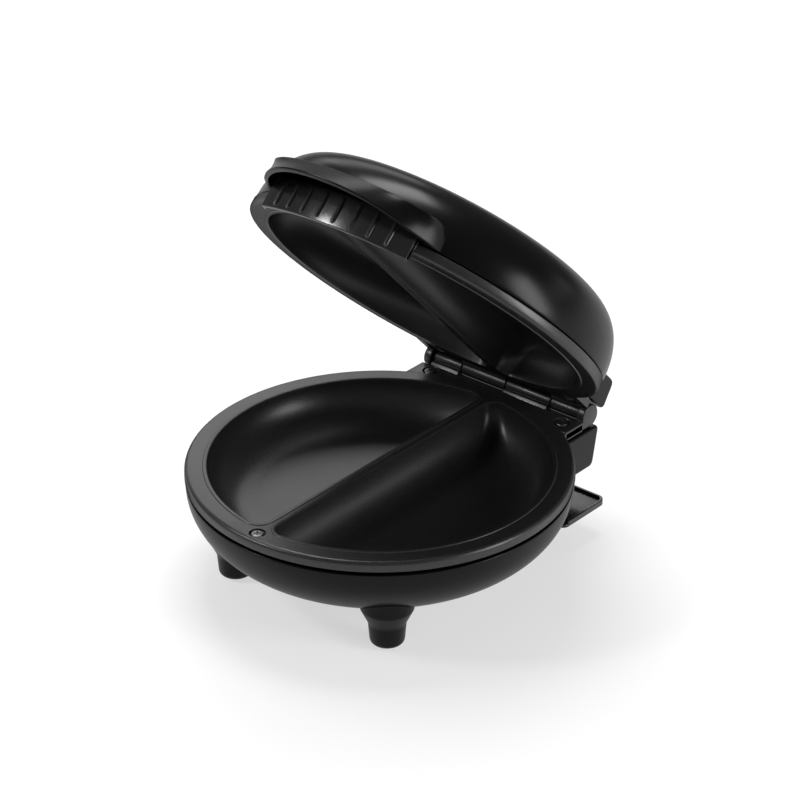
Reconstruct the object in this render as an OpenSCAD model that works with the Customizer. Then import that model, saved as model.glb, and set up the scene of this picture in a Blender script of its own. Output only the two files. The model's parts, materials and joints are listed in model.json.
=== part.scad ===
// Countertop omelette maker: two cast cooking plates with half-moon wells,
// each carried in a moulded housing and joined by a cast hinge at the back.
// Origin: on the worktop, under the centre of the plates. X runs along the hinge, -Y is the front.

/* [Cooking plates] */
// Outer radius of both cooking plates
plate_r = 108; // [100:0.5:116]
// Height of the band round a plate, from its lower edge to its cooking face
band_h = 6; // [5:0.5:8]
// Gap between the two cooking faces when the lid is shut
face_gap = 1.1; // [0.9:0.1:2]
// Thickness of the cast wall of a plate
cast_t = 2.6; // [2.2:0.1:3]
// Radius of the rounded edge of a cooking face
face_edge_r = 2.4; // [1:0.2:3]

/* [Half-moon wells] */
// Width of the flat border of a plate outside its wells
well_border = 12.5; // [12:0.5:18]
// Width of the web left between the two wells at the cooking face
web_w = 6.4; // [5.8:0.2:12]
// Radius of the two corners of a well at the cooking face
well_corner_r = 8; // [6:0.5:14]
// Depth of a well below the cooking face
well_depth = 24; // [18:1:26]
// How far the floor of a well is drawn in from its edge
well_draw = 26; // [20:1:30]
// Width of the raised rim round a well
rim_w = 2.5; // [1.5:0.1:2.6]
// Height of the raised rim round a well
rim_h = 0.4; // [0.2:0.1:0.4]

/* [Lid] */
// Opening angle of the lid as it stands
lid_open = 46.5; // [0:0.5:90]
// Room between the wells and the top of the dome, for the heater and its reflector
lid_room = 20.2; // [18.4:0.2:30]
// How far the dome's lower edge stands in from the edge of the plate
dome_step = 0.6; // [0:0.1:3]
// Gap between the dome and the upper plate
lid_seam = 0.8; // [0.4:0.1:1.5]

/* [Base] */
// Height of the lower edge of the lower plate above the worktop
seam_z = 61; // [56:0.5:70]
// Room between the wells and the underside of the bowl, for the heater and its reflector
base_room = 18.8; // [17:0.2:22]
// How far the bowl's upper edge stands in from the edge of the plate
bowl_step = 0.4; // [0:0.1:3]
// How far the side of the bowl turns in to the flat bottom
bowl_turn = 29.6; // [24:0.2:34]
// Gap between the bowl and the lower plate
base_seam = 2.2; // [1:0.1:3]
// Wall of both moulded housings
shell_t = 2.4; // [2:0.1:3]

/* [Legs] */
// Distance of the legs' centres inside the edge of the plate
leg_inset = 27; // [24:0.5:32]
// Angle of the legs from the front-to-back line
leg_angle = 43; // [38:1:50]
// Radius of a leg near the worktop
leg_r = 10; // [9:0.2:12]
// Radius of the flare where a leg meets the bowl
leg_flare_r = 15; // [13:0.2:17]
// Radius of the cover in the floor of the bowl; the flares of the legs reach under its rim
cover_r = 74; // [72.5:0.5:76]
// Thickness of the rim of the cover
cover_rim_t = 1.4; // [1:0.1:1.8]
// Gap between the bowl and the legs that seat on it
seat_gap = 0.1; // [0.05:0.05:0.3]
// Radius of the rubber pad under a leg
pad_r = 6; // [4:0.2:7]

/* [Hinge] */
// Distance of the hinge axis behind the edge of the plate
hinge_reach = 6.9; // [6:0.1:12]
// Radius of a hinge knuckle
knuckle_r = 4.2; // [4:0.1:4.6]
// Radius of the hinge pin
pin_r = 2; // [1.5:0.1:2.2]
// Clearance between the pin and its bores
pin_clear = 0.05; // [0.03:0.01:0.1]
// Distance from the middle to the far end of the inner knuckles
knuckle_in = 32.4; // [28:0.2:36]
// Distance from the middle to the far end of the outer knuckles
knuckle_out = 53.3; // [50:0.1:54]
// Thickness of the side ear of a plate
ear_t = 5; // [4:0.2:6]
// Radius of the round end of the side ear
ear_r = 6.8; // [6:0.1:7]
// Gap between neighbouring knuckles
knuckle_gap = 0.6; // [0.4:0.1:1]

/* [Rear lugs] */
// How far a lug block reaches sideways past the ears
lug_side = 1.5; // [1:0.1:4]
// Gap between an ear and the face of a lug block
lug_gap = 0.65; // [0.4:0.05:1.2]
// Height of the lug block of the base
base_lug_h = 24.4; // [22:0.2:28]
// Height of the lug block of the lid
lid_lug_h = 17; // [14:0.2:20]
// How far a lug block reaches behind the ears
lug_back = 0.1; // [0:0.05:1]

/* [Handle] */
// Half width of the handle hood along its upper edge
hood_half_w = 55.4; // [54:0.2:57]
// How much wider the hood is on each side along its lower edge
hood_flare = 4.6; // [3.6:0.2:5.6]
// How far the hood's lower front edge stands out from the dome
hood_reach = 29.2; // [26:0.2:33]
// How far the hood's upper front edge stands out from the dome
brow_reach = 12.4; // [10:0.2:15]
// Height of the upper front edge above the lower edge of the dome
hood_h = 14; // [12:0.5:16]
// Wall of the hood
hood_t = 2.3; // [2:0.1:3]
// Distance of the ribbed face of the grip from the dome
grip_out = 6.2; // [5.6:0.1:8]
// Gap between each end of the grip and the wall of the hood
grip_side_gap = 3.3; // [2.8:0.1:4]
// How far the grip hangs below the lower edge of the dome
grip_drop = 12.4; // [9:0.2:12.6]
// Number of ribs on the grip
rib_count = 8; // [4:1:8]
// Angle between neighbouring ribs
rib_pitch = 5.6; // [4:0.1:6]
// Radius of a rib
rib_r = 1.3; // [0.8:0.1:1.6]

/* [Heating] */
// Distance of the heating loop inside the curved side of the wells
loop_inset = 43.5; // [41:0.5:48]
// Radius of the heater tube
tube_r = 3.25; // [2.8:0.05:3.4]
// Radius at which the ends of the loop turn back
elbow_r = 8; // [7:0.5:9]
// Thickness of the strap over the heater tube
strap_t = 1.2; // [1:0.1:1.6]
// Width of the strap over the heater tube
strap_w = 10; // [9:0.5:14]
// How far a reflector dish stands in from the flat bottom's edge
reflector_inset = 2; // [0.5:0.5:8]
// Sheet thickness of a reflector
reflector_t = 0.8; // [0.6:0.1:1.2]

/* [Cord wrap] */
// How far the cord wrap flange reaches sideways past the lug block
wrap_side = 12; // [6:0.5:14]
// Distance of the flange's rear edge in front of the hinge axis
wrap_back = 0.9; // [0:0.1:4]
// Depth of the flange from front to back
wrap_depth = 39; // [30:0.5:42]
// Thickness of the bracket
wrap_t = 2; // [1.6:0.1:2.6]
// Drop of the bracket below the bowl
wrap_drop = 3.3; // [2.5:0.1:4]
// Height of the lip along the flange's rear and side edges
wrap_lip = 1.6; // [1:0.1:3]
// Thickness of that lip
wrap_lip_t = 1.8; // [1.2:0.1:3]

/* [Screws] */
// Distance of the front plate screw inside the edge of the plate
front_screw_in = 7.2; // [6.6:0.1:8.5]
// Land between the recess of a rear plate screw and the end of the knuckles
rear_screw_land = 0.4; // [0.3:0.1:4]
// Distance of the rear plate screws inside the edge of the plate
rear_screw_in = 6; // [5.6:0.1:7.5]
// Radius of the plate screws' shanks
screw_r = 1.7; // [1.4:0.05:2]
// Radius of the plate screws' heads
head_r = 3.7; // [3.2:0.1:4]
// Radius of the recess round a plate screw's head
recess_r = 4.7; // [4.4:0.1:4.8]
// Reach of a plate screw into its post
screw_bite = 6; // [5:0.5:8]
// Radius of the small screws' shanks
small_screw_r = 1.3; // [1:0.05:1.5]
// Radius of the small screws' heads
small_head_r = 2.6; // [2.2:0.1:3]
// Height of the small screws' heads
small_head_h = 1.5; // [1.2:0.1:2]

/* [Mains inlet] */
// Radius of the cable bore in the bush
inlet_r = 3.6; // [2.5:0.1:4.5]
// Wall of the bush round the cable
bush_t = 1.6; // [1.2:0.1:2.4]

/* [Hidden] */

big_fn = 128;
small_fn = 48;
eps = 0.01;

// Plans that follow the edge of the plates
well_r = plate_r - well_border;
dome_r = plate_r - dome_step;
bowl_r = plate_r - bowl_step;
bowl_floor_r = bowl_r - bowl_turn;
hinge_y = plate_r + hinge_reach;
leg_circle_r = plate_r - leg_inset;
loop_r = well_r - loop_inset;
reflector_r = bowl_floor_r - reflector_inset;

// Levels of the lower plate, which the upper plate repeats upside down about the mating level
face_z = seam_z + band_h;
mate_z = face_z + face_gap / 2;
hinge_z = mate_z;
upper_seam_z = 2 * mate_z - seam_z;
face_t = 3;
slab_z = face_z - face_t;
floor_z = face_z - well_depth;
pan_z = floor_z - cast_t;

// Apron behind the round plate, which carries the knuckles
apron_h = band_h - 1.5;
apron_y = hinge_y - knuckle_r - 0.5;
apron_shoulder_y = hinge_y - ear_r - 0.7;
ear_in = knuckle_out + 0.2;
ear_out = ear_in + ear_t;

// Housings
bowl_top_z = seam_z - base_seam;
bowl_bottom_z = pan_z - base_room;
dome_z = upper_seam_z + lid_seam;
dome_h = 2 * mate_z - pan_z + lid_room - dome_z;
lug_half_w = ear_out + lug_side;
lug_clear = ear_r + lug_gap;
lug_reach = ear_r + lug_back;
base_lug_top = hinge_z - lug_clear;
lid_lug_bottom = hinge_z + lug_clear;
lug_lean = 0.21;
lug_front_y = plate_r * 0.72;

// Screw seats
recess_depth = 1.8;
front_screw_y = plate_r - front_screw_in;
rear_screw_x = knuckle_out - recess_r - rear_screw_land;
rear_screw_y = plate_r - rear_screw_in;
front_seat_z = face_z - recess_depth;
rear_seat_z = seam_z + apron_h - 1.5;
boss_r = 4.8;
post_gap = 0.2;
boss_z = seam_z - min(lid_seam, base_seam) + post_gap;
post_r = 4.8;
post_z = boss_z - post_gap;
shank_clear = 0.2;
pilot_clear = 0.05;
screw_reach = 9;
plate_screws = [
    [0, -front_screw_y, front_seat_z],
    [rear_screw_x, rear_screw_y, rear_seat_z],
    [-rear_screw_x, rear_screw_y, rear_seat_z]];

// Heater, straps and reflector under a plate
tube_gap = 0.15;
tube_z = pan_z - tube_gap - tube_r;
strap_boss_r = 3.4;
strap_boss_in = loop_r - tube_r - strap_boss_r - 1;
strap_boss_out = loop_r + tube_r + strap_boss_r + 1;
strap_z = tube_z - tube_r - tube_gap;
strap_screw_reach = 5;
loop_end = 75;
cold_r = tube_r - 0.15;
tail_len = 10;
tail_x = (loop_r + elbow_r) * cos(loop_end) - elbow_r;
tail_y = (loop_r + elbow_r) * sin(loop_end);
pad_z = floor_z + 3;
pad_boss_r = 9;
sensor_r = 8.4;
sensor_h = 8;
fuse_y = -30;
fuse_r = 2.2;
fuse_len = 12;

reflector_z = bowl_bottom_z + shell_t + 3.4;
upper_reflector_z = dome_z + dome_h - shell_t - 4.2;
reflector_post_r = 4;
reflector_bite = 2.6;
reflector_posts = [for (a = [-90, 30, 150]) (reflector_r - 14) * [cos(a), sin(a)]];

// Legs and pads
leg_bottom_z = 1;
pad_recess = 1.5;
leg_top_z = bowl_bottom_z + 12;
leg_seat_z = bowl_bottom_z + shell_t + 2.2;
leg_seat_r = 4;
leg_screw_reach = 12;
cover_ledge = 4;
cover_gap = 0.15;
leg_spots = [for (sx = [-1, 1], sy = [-1, 1])
    [sx * leg_circle_r * sin(leg_angle), sy * leg_circle_r * cos(leg_angle)]];

// Cord wrap bracket
wrap_z = bowl_bottom_z - wrap_drop;
wrap_half_w = lug_half_w + wrap_side;
wrap_y = hinge_y - wrap_back;
wrap_neck_w = 36;
wrap_screw_x = 26;
wrap_screw_y = bowl_floor_r - 16;
wrap_boss_r = 5;
wrap_bite = 3.6;

// Mains inlet at the back of the base's lug block
inlet_z = base_lug_top - base_lug_h / 2;
bush_r = inlet_r + bush_t;
bush_seat = 0.1;
bush_flange_r = bush_r + 2;
lug_back_y = hinge_y + lug_reach - lug_lean * (base_lug_h / 2 - 3);

// Hood and grip
hood_root_y = dome_r * 0.65;
hood_rise = 0.14;
hood_front = dome_r + hood_reach;
hood_brow = dome_r + brow_reach;
grip_r = dome_r + grip_out;
grip_half_w = hood_half_w - hood_t - grip_side_gap;
grip_z = dome_z - grip_drop;
grip_t = 2.4;
grip_top = dome_z + 6;
grip_gap = 0.3;
grip_screw_x = 28;
grip_screw_z = dome_z + 3.2;
grip_boss_r = 3.2;
grip_screw_len = 8;

// A polygon whose corner i is rounded to radii[i]
function unit(v) = v / norm(v);
function corner(p, q, s, r) =
    r == 0 ? [q] :
    let (a = unit(p - q), b = unit(s - q), half = acos(a * b) / 2,
        c = q + unit(a + b) * r / sin(half), reach = r / tan(half),
        from = q + a * reach - c, to = q + b * reach - c,
        a0 = atan2(from.y, from.x), turn = atan2(to.y, to.x) - a0,
        sweep = turn > 180 ? turn - 360 : turn < -180 ? turn + 360 : turn,
        n = r < 1.5 ? 3 : r < 4 ? 5 : 7)
    [for (i = [0:n]) c + r * [cos(a0 + sweep * i / n), sin(a0 + sweep * i / n)]];
function rounded(points, radii) =
    let (m = len(points))
    [for (i = [0:m - 1]) each
        corner(points[(i + m - 1) % m], points[i], points[(i + 1) % m], radii[i])];

// Half-moon outline: straight side at x = s, curved side of radius r, corners of radius c
function half_moon(r, s, c) =
    let (y = sqrt((r - c) * (r - c) - (s + c) * (s + c)), a = atan2(y, s + c), turn = 180 - a)
    concat(
        [for (i = [0:26]) r * [cos(-a + 2 * a * i / 26), sin(-a + 2 * a * i / 26)]],
        [for (i = [1:7]) [s + c, y] + c * [cos(a + turn * i / 7), sin(a + turn * i / 7)]],
        [for (i = [1:5]) [s, y - 2 * y * i / 6]],
        [for (i = [0:6]) [s + c, -y] + c * [cos(180 + turn * i / 7), sin(180 + turn * i / 7)]]);

// Ring of a well: t runs from 0 at the cooking face to 1 at the floor, grow is the cast wall outside
function well_ring(t, grow) =
    let (draw = well_draw * (1 - pow(cos(90 * t), 0.9)), depth = well_depth * sin(90 * t))
    [for (p = half_moon(well_r - draw + grow, web_w / 2 + draw - grow, well_corner_r + draw * 0.2 + grow))
        [p.x, p.y, face_z - depth - grow * t]];

// Solid through rings of equal count, each anticlockwise from above, from the lowest up
module loft(rings) {
    n = len(rings[0]);
    m = len(rings);
    polyhedron(
        points = [for (ring = rings) each ring],
        faces = concat(
            [[for (i = [0:n - 1]) i]],
            [for (k = [0:m - 2], i = [0:n - 1])
                [k * n + i, k * n + n + i, k * n + n + (i + 1) % n]],
            [for (k = [0:m - 2], i = [0:n - 1])
                [k * n + i, k * n + n + (i + 1) % n, k * n + (i + 1) % n]],
            [[for (i = [n - 1:-1:0]) (m - 1) * n + i]]));
}

module both_sides() {
    children();
    mirror([1, 0, 0]) children();
}

// The hollow of a well, or its cast outside; top is how far it runs past the cooking face
module well(grow, top) {
    steps = 8;
    loft(concat(
        [for (k = [steps:-1:(top > 0 ? 0 : 1)]) well_ring(k / steps, grow)],
        [[for (p = well_ring(0, grow)) p + [0, 0, top]]]));
}

// The lid swings about the hinge; its pieces are drawn shut and then opened
module opened() {
    translate([0, hinge_y, hinge_z])
        rotate([-lid_open, 0, 0])
            translate([0, -hinge_y, -hinge_z])
                children();
}

// Turns a piece of the lower plate over, to its twin's place in the lid
module turned_over() {
    translate([0, 0, 2 * mate_z]) rotate([0, 180, 0]) children();
}

module along_x(x0, x1) {
    translate([x0, 0, 0]) rotate([90, 0, 90]) linear_extrude(x1 - x0) children();
}

module pin_hole(x0, x1) {
    translate([x0, hinge_y, hinge_z]) rotate([0, 90, 0])
        cylinder(h = x1 - x0, r = pin_r + pin_clear, $fn = small_fn);
}

module knuckle(x0, x1) {
    translate([x0, hinge_y, hinge_z]) rotate([0, 90, 0])
        cylinder(h = x1 - x0, r = knuckle_r, $fn = small_fn);
    translate([x0, apron_y - 1, hinge_z - knuckle_r + 0.5])
        cube([x1 - x0, hinge_y - apron_y, knuckle_r]);
}

// Cast plate with two wells, hinge knuckles, side ear, screw bosses and heater seats
module cook_plate(ear_bore_end) {
    half_gap = knuckle_gap / 2;
    difference() {
        union() {
            rotate_extrude($fn = big_fn)
                polygon(rounded([
                    [0, slab_z], [plate_r - cast_t, slab_z], [plate_r - cast_t, seam_z],
                    [plate_r, seam_z], [plate_r, face_z], [0, face_z]],
                    [0, 1, 0, 0.4, face_edge_r, 0]));
            both_sides() well(cast_t, -1.2);
            both_sides() difference() {
                translate([0, 0, face_z - 1]) linear_extrude(rim_h + 1)
                    polygon(half_moon(well_r + rim_w, web_w / 2 - rim_w, well_corner_r + rim_w));
                translate([0, 0, face_z - 2]) linear_extrude(rim_h + 4)
                    polygon(half_moon(well_r - 0.5, web_w / 2 + 0.5, well_corner_r - 0.5));
            }
            apron();
            knuckle(-knuckle_out + half_gap, -knuckle_in - half_gap);
            knuckle(half_gap, knuckle_in - half_gap);
            side_ear();
            for (s = plate_screws)
                translate([s.x, s.y, boss_z]) cylinder(h = s.z - boss_z, r = boss_r, $fn = small_fn);
            both_sides() for (x = [strap_boss_in, strap_boss_out])
                translate([x, 0, strap_z])
                    cylinder(h = pan_z - strap_z + 1.2, r = strap_boss_r, $fn = small_fn);
            translate([0, 0, pad_z]) cylinder(h = slab_z - pad_z + 1, r = pad_boss_r, $fn = small_fn);
            translate([0, fuse_y, pad_z]) cylinder(h = slab_z - pad_z + 1, r = pad_boss_r, $fn = small_fn);
        }
        both_sides() well(0, rim_h + 2);
        pin_hole(-knuckle_out - 1, knuckle_in + 1);
        pin_hole(ear_in - 1, ear_bore_end);
        for (s = plate_screws) {
            translate([s.x, s.y, boss_z - 1])
                cylinder(h = face_z - boss_z + 2, r = screw_r + shank_clear, $fn = small_fn);
            translate([s.x, s.y, s.z]) cylinder(h = band_h + 2, r = recess_r, $fn = small_fn);
        }
        both_sides() for (x = [strap_boss_in, strap_boss_out])
            translate([x, 0, strap_z - 1])
                cylinder(h = strap_screw_reach + 0.5, r = small_screw_r + pilot_clear, $fn = small_fn);
    }
}

module apron() {
    front_y = plate_r * 0.78;
    difference() {
        translate([-ear_out, front_y, seam_z])
            cube([2 * ear_out, apron_shoulder_y - front_y, apron_h]);
        translate([0, 0, seam_z - 1]) cylinder(h = band_h + 2, r = plate_r - 1, $fn = big_fn);
    }
    translate([-knuckle_out, rear_screw_y, seam_z])
        cube([2 * knuckle_out, apron_y - rear_screw_y, apron_h]);
}

module side_ear() {
    arm_y = plate_r * 0.8;
    difference() {
        translate([ear_in, arm_y, seam_z]) cube([ear_t, hinge_y - arm_y, band_h + 0.5]);
        translate([0, 0, seam_z - 1]) cylinder(h = band_h + 4, r = plate_r - 1, $fn = big_fn);
    }
    translate([ear_in, hinge_y, hinge_z]) rotate([0, 90, 0])
        cylinder(h = ear_t, r = ear_r, $fn = small_fn);
}

// Tubular heater: an open loop under the wells whose ends turn back to the rear
module heater() {
    translate([0, 0, tube_z]) {
        rotate([0, 0, 180 - loop_end])
            rotate_extrude(angle = 180 + 2 * loop_end, $fn = big_fn)
                translate([loop_r, 0]) circle(r = tube_r, $fn = small_fn);
        both_sides() translate([tail_x + elbow_r, tail_y, 0]) {
            rotate([0, 0, 180]) rotate_extrude(angle = loop_end + 4, $fn = big_fn)
                translate([elbow_r, 0]) circle(r = cold_r, $fn = small_fn);
            translate([-elbow_r, 0, 0]) rotate([-90, 0, 0])
                cylinder(h = tail_len, r = cold_r, $fn = small_fn);
        }
    }
}

module heater_terminals() {
    ceramic_len = 6;
    spade_len = 9;
    both_sides() translate([tail_x, tail_y + tail_len, tube_z]) {
        rotate([-90, 0, 0]) cylinder(h = ceramic_len, r = cold_r + 0.6, $fn = small_fn);
        translate([-0.4, ceramic_len - 1, -2.4]) cube([0.8, spade_len, 4.8]);
    }
}

module heater_straps() {
    both_sides() difference() {
        translate([strap_boss_in - strap_boss_r - 1, -strap_w / 2, strap_z - strap_t])
            cube([strap_boss_out - strap_boss_in + 2 * strap_boss_r + 2, strap_w, strap_t]);
        for (x = [strap_boss_in, strap_boss_out])
            translate([x, 0, strap_z - strap_t - 1])
                cylinder(h = strap_t + 2, r = small_screw_r + 0.2, $fn = small_fn);
    }
}

module strap_screws() {
    both_sides() for (x = [strap_boss_in, strap_boss_out])
        translate([x, 0, strap_z - strap_t]) {
            translate([0, 0, -small_head_h]) cylinder(h = small_head_h, r = small_head_r, $fn = small_fn);
            translate([0, 0, -eps])
                cylinder(h = strap_t + strap_screw_reach - 1, r = small_screw_r, $fn = small_fn);
        }
}

module plate_screw_set(length) {
    for (s = plate_screws)
        translate([s.x, s.y, s.z]) {
            translate([0, 0, -length]) cylinder(h = length + 0.5, r = screw_r, $fn = small_fn);
            difference() {
                rotate_extrude($fn = small_fn)
                    polygon(rounded([[0, 0], [head_r, 0], [head_r, 1.7], [0, 1.7]], [0, 0, 1.1, 0]));
                for (turn = [0, 90])
                    rotate([0, 0, turn + 45]) translate([-2.2, -0.45, 0.9]) cube([4.4, 0.9, 2]);
            }
        }
}

// Dish of thin sheet behind a heater, with an upturned rim
module reflector_dish(z, up) {
    rise = 7;
    flare = 6;
    difference() {
        rotate_extrude($fn = big_fn)
            polygon([
                [0, z], [reflector_r, z], [reflector_r + flare, z + up * rise],
                [reflector_r + flare - reflector_t, z + up * (rise + 0.2)],
                [reflector_r - reflector_t, z + up * reflector_t], [0, z + up * reflector_t]]);
        for (p = reflector_posts)
            translate([p.x, p.y, z - 2]) cylinder(h = 4, r = small_screw_r + 0.2, $fn = small_fn);
    }
}

module reflector_screw_set(z, up) {
    for (p = reflector_posts)
        translate([p.x, p.y, z]) {
            translate([0, 0, up > 0 ? reflector_t : -reflector_t - small_head_h])
                cylinder(h = small_head_h, r = small_head_r, $fn = small_fn);
            translate([0, 0, up > 0 ? -reflector_bite : -reflector_t - eps])
                cylinder(h = reflector_bite + reflector_t + eps, r = small_screw_r, $fn = small_fn);
        }
}

// Outer form of the bowl: its side bulges out and then turns in to a flat floor
function bowl_point(t, inset) =
    [bowl_floor_r - inset + (bowl_r - bowl_floor_r) * pow(cos(90 * t), 1.57),
        bowl_top_z - (bowl_top_z - bowl_bottom_z - inset) * pow(sin(90 * t), 0.9)];
module bowl_form(inset) {
    rotate_extrude($fn = big_fn)
        polygon(concat(
            [[0, bowl_top_z + inset], [bowl_r - inset, bowl_top_z + inset]],
            [for (i = [0:14]) bowl_point(i / 14, inset)],
            [[0, bowl_bottom_z + inset]]));
}

// Side outline of a lug block; the back leans in away from the hinge
module lug_outline(height, inset, down) {
    back = hinge_y + lug_reach;
    polygon(rounded([
        [lug_front_y, down * inset], [back - inset, down * inset],
        [back - inset - lug_lean * height, down * (height - inset)],
        [lug_front_y, down * (height - inset)]],
        [0, 2.6 - inset / 2, 4.5 - inset / 2, 0]));
}

module base_lug(inset) {
    along_x(-lug_half_w + inset, lug_half_w - inset)
        translate([0, base_lug_top]) lug_outline(base_lug_h, inset, -1);
}

module lid_lug(inset) {
    along_x(-lug_half_w + inset, lug_half_w - inset)
        translate([0, lid_lug_bottom]) lug_outline(lid_lug_h, inset, 1);
}

module leg() {
    rotate_extrude($fn = small_fn)
        polygon(rounded([
            [0, leg_bottom_z], [leg_r - 0.6, leg_bottom_z], [leg_r + 0.6, bowl_bottom_z - 7],
            [leg_flare_r, bowl_bottom_z + 2], [leg_flare_r, leg_top_z], [0, leg_top_z]],
            [0, 3.4, 6, 2, 0, 0]));
}

module base_posts(h) {
    for (s = plate_screws) translate([s.x, s.y, post_z - h]) cylinder(h = h, r = post_r, $fn = small_fn);
}

module reflector_post_set(h, clear = 0) {
    for (p = reflector_posts) translate([p.x, p.y, bowl_bottom_z + 1])
        cylinder(h = h - bowl_bottom_z - 1, r = reflector_post_r + clear, $fn = small_fn);
}

// Room for the cover in the floor of the bowl: its rim below the ledge, its middle through it
module cover_room() {
    translate([0, 0, bowl_bottom_z - 1]) cylinder(h = cover_rim_t + 1 + cover_gap, r = cover_r, $fn = big_fn);
    translate([0, 0, bowl_bottom_z - 1]) cylinder(h = 12, r = cover_r - cover_ledge, $fn = big_fn);
    reflector_post_set(reflector_z, cover_gap);
}

// Bowl and rear block are one moulding, open below; the legs are screwed on from inside
module base_housing() {
    color("#161616") difference() {
        union() {
            bowl_form(0);
            base_lug(0);
            base_posts(4);
        }
        difference() {
            union() {
                bowl_form(shell_t);
                base_lug(shell_t);
                // Mouth of the block, under the apron of the lower plate
                translate([-lug_half_w + shell_t, lug_front_y, base_lug_top - shell_t - 1])
                    cube([2 * (lug_half_w - shell_t), apron_shoulder_y - lug_front_y, shell_t + 4]);
            }
            base_posts(post_z);
            cylinder(h = leg_seat_z - 1, r = cover_r + 3, $fn = big_fn);
            for (p = leg_spots)
                translate([p.x, p.y, 0]) cylinder(h = leg_seat_z, r = leg_seat_r, $fn = small_fn);
        }
        cover_room();
        for (s = plate_screws) translate([s.x, s.y, post_z - screw_reach])
            cylinder(h = screw_reach + 2, r = screw_r + pilot_clear, $fn = small_fn);
        for (p = leg_spots) translate([p.x, p.y, 0]) {
            cylinder(h = leg_seat_z + 1, r = small_screw_r + 0.2, $fn = small_fn);
            translate([0, 0, leg_seat_z]) cylinder(h = 6, r = small_head_r + 0.4, $fn = small_fn);
        }
        translate([0, lug_back_y - 12, inlet_z]) rotate([-90, 0, 0]) bush_neck(bush_seat, 20);
    }
}

// Round cover with the posts of the reflector and the screw bosses of the bracket
module bottom_cover() {
    floor_top = bowl_bottom_z + shell_t;
    color("#161616") difference() {
        union() {
            translate([0, 0, bowl_bottom_z]) {
                cylinder(h = cover_rim_t, r = cover_r - cover_gap, $fn = big_fn);
                cylinder(h = shell_t, r = cover_r - cover_ledge - cover_gap, $fn = big_fn);
            }
            reflector_post_set(reflector_z);
            both_sides() translate([wrap_screw_x, wrap_screw_y, bowl_bottom_z + 1])
                cylinder(h = wrap_bite - 0.2, r = small_screw_r + 1.2, $fn = small_fn);
        }
        for (p = reflector_posts)
            translate([p.x, p.y, reflector_z - 3])
                cylinder(h = 4, r = small_screw_r + pilot_clear, $fn = small_fn);
        both_sides() translate([wrap_screw_x, wrap_screw_y, bowl_bottom_z - 1])
            cylinder(h = wrap_bite + 1.2, r = small_screw_r + pilot_clear, $fn = small_fn);
    }
}

module legs() {
    color("#181818") difference() {
        for (p = leg_spots) translate([p.x, p.y, 0]) leg();
        bowl_form(-seat_gap);
        for (p = leg_spots) translate([p.x, p.y, 0]) {
            translate([0, 0, leg_bottom_z - 1]) cylinder(h = pad_recess + 1, r = pad_r + 0.2, $fn = small_fn);
            translate([0, 0, leg_seat_z - leg_screw_reach - 1])
                cylinder(h = leg_screw_reach + 4, r = small_screw_r + pilot_clear, $fn = small_fn);
        }
    }
}

module leg_screws() {
    color("silver") for (p = leg_spots) translate([p.x, p.y, leg_seat_z]) {
        cylinder(h = small_head_h, r = small_head_r, $fn = small_fn);
        translate([0, 0, -leg_screw_reach]) cylinder(h = leg_screw_reach + eps, r = small_screw_r, $fn = small_fn);
    }
}

module foot_pads() {
    color("#222222") for (p = leg_spots)
        translate([p.x, p.y, 0]) rotate_extrude($fn = small_fn)
            polygon(rounded([[0, 0], [pad_r, 0], [pad_r, leg_bottom_z + pad_recess],
                [0, leg_bottom_z + pad_recess]], [0, 0.8, 0, 0]));
}

// Outline of the bracket: a neck under the bowl and the wide flange behind it
module wrap_outline() {
    front_y = wrap_y - wrap_depth;
    polygon(rounded([
        [-wrap_neck_w, wrap_screw_y - 8], [wrap_neck_w, wrap_screw_y - 8],
        [wrap_neck_w, front_y], [wrap_half_w, front_y], [wrap_half_w, wrap_y],
        [-wrap_half_w, wrap_y], [-wrap_half_w, front_y], [-wrap_neck_w, front_y]],
        [4, 4, 3, 4, 5, 5, 4, 3]));
}

// The flange's rear and side edges, drawn in by inset
module wrap_edge(inset, front_y) {
    w = wrap_half_w - inset;
    polygon(rounded([[w, front_y], [w, wrap_y - inset], [-w, wrap_y - inset], [-w, front_y]],
        [0, 5 - inset, 5 - inset, 0]));
}

module cord_wrap_bracket() {
    front_y = wrap_y - wrap_depth;
    color("#1a1a1a") difference() {
        union() {
            translate([0, 0, wrap_z - wrap_t]) linear_extrude(wrap_t) wrap_outline();
            translate([0, 0, wrap_z - 1]) linear_extrude(wrap_lip + 1) difference() {
                wrap_edge(0, front_y + 4);
                wrap_edge(wrap_lip_t, front_y);
            }
            both_sides() translate([wrap_screw_x, wrap_screw_y, wrap_z - 1])
                cylinder(h = wrap_drop + 1 - seat_gap, r = wrap_boss_r, $fn = small_fn);
        }
        both_sides() translate([wrap_screw_x, wrap_screw_y, wrap_z - wrap_t - 1])
            cylinder(h = wrap_t + wrap_drop + 2, r = small_screw_r + 0.2, $fn = small_fn);
    }
}

module bracket_screws() {
    color("silver") both_sides() translate([wrap_screw_x, wrap_screw_y, wrap_z - wrap_t]) {
        translate([0, 0, -small_head_h]) cylinder(h = small_head_h, r = small_head_r, $fn = small_fn);
        translate([0, 0, -eps]) cylinder(h = wrap_t + wrap_drop + wrap_bite, r = small_screw_r, $fn = small_fn);
    }
}

// Square with rounded corners, so that the bush can't turn in its hole
module bush_neck(clear, h) {
    linear_extrude(h) offset(r = 1 + clear, $fn = small_fn) square(2 * bush_r - 2, center = true);
}

module cord_bush() {
    neck = 5;
    color("#202020") translate([0, lug_back_y, inlet_z]) rotate([-90, 0, 0]) difference() {
        union() {
            translate([0, 0, -neck]) bush_neck(0, neck + 1.5);
            translate([0, 0, 0.9]) cylinder(h = 2.1, r = bush_flange_r, $fn = small_fn);
        }
        translate([0, 0, -neck - 1]) cylinder(h = neck + 6, r = inlet_r, $fn = small_fn);
    }
}

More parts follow.
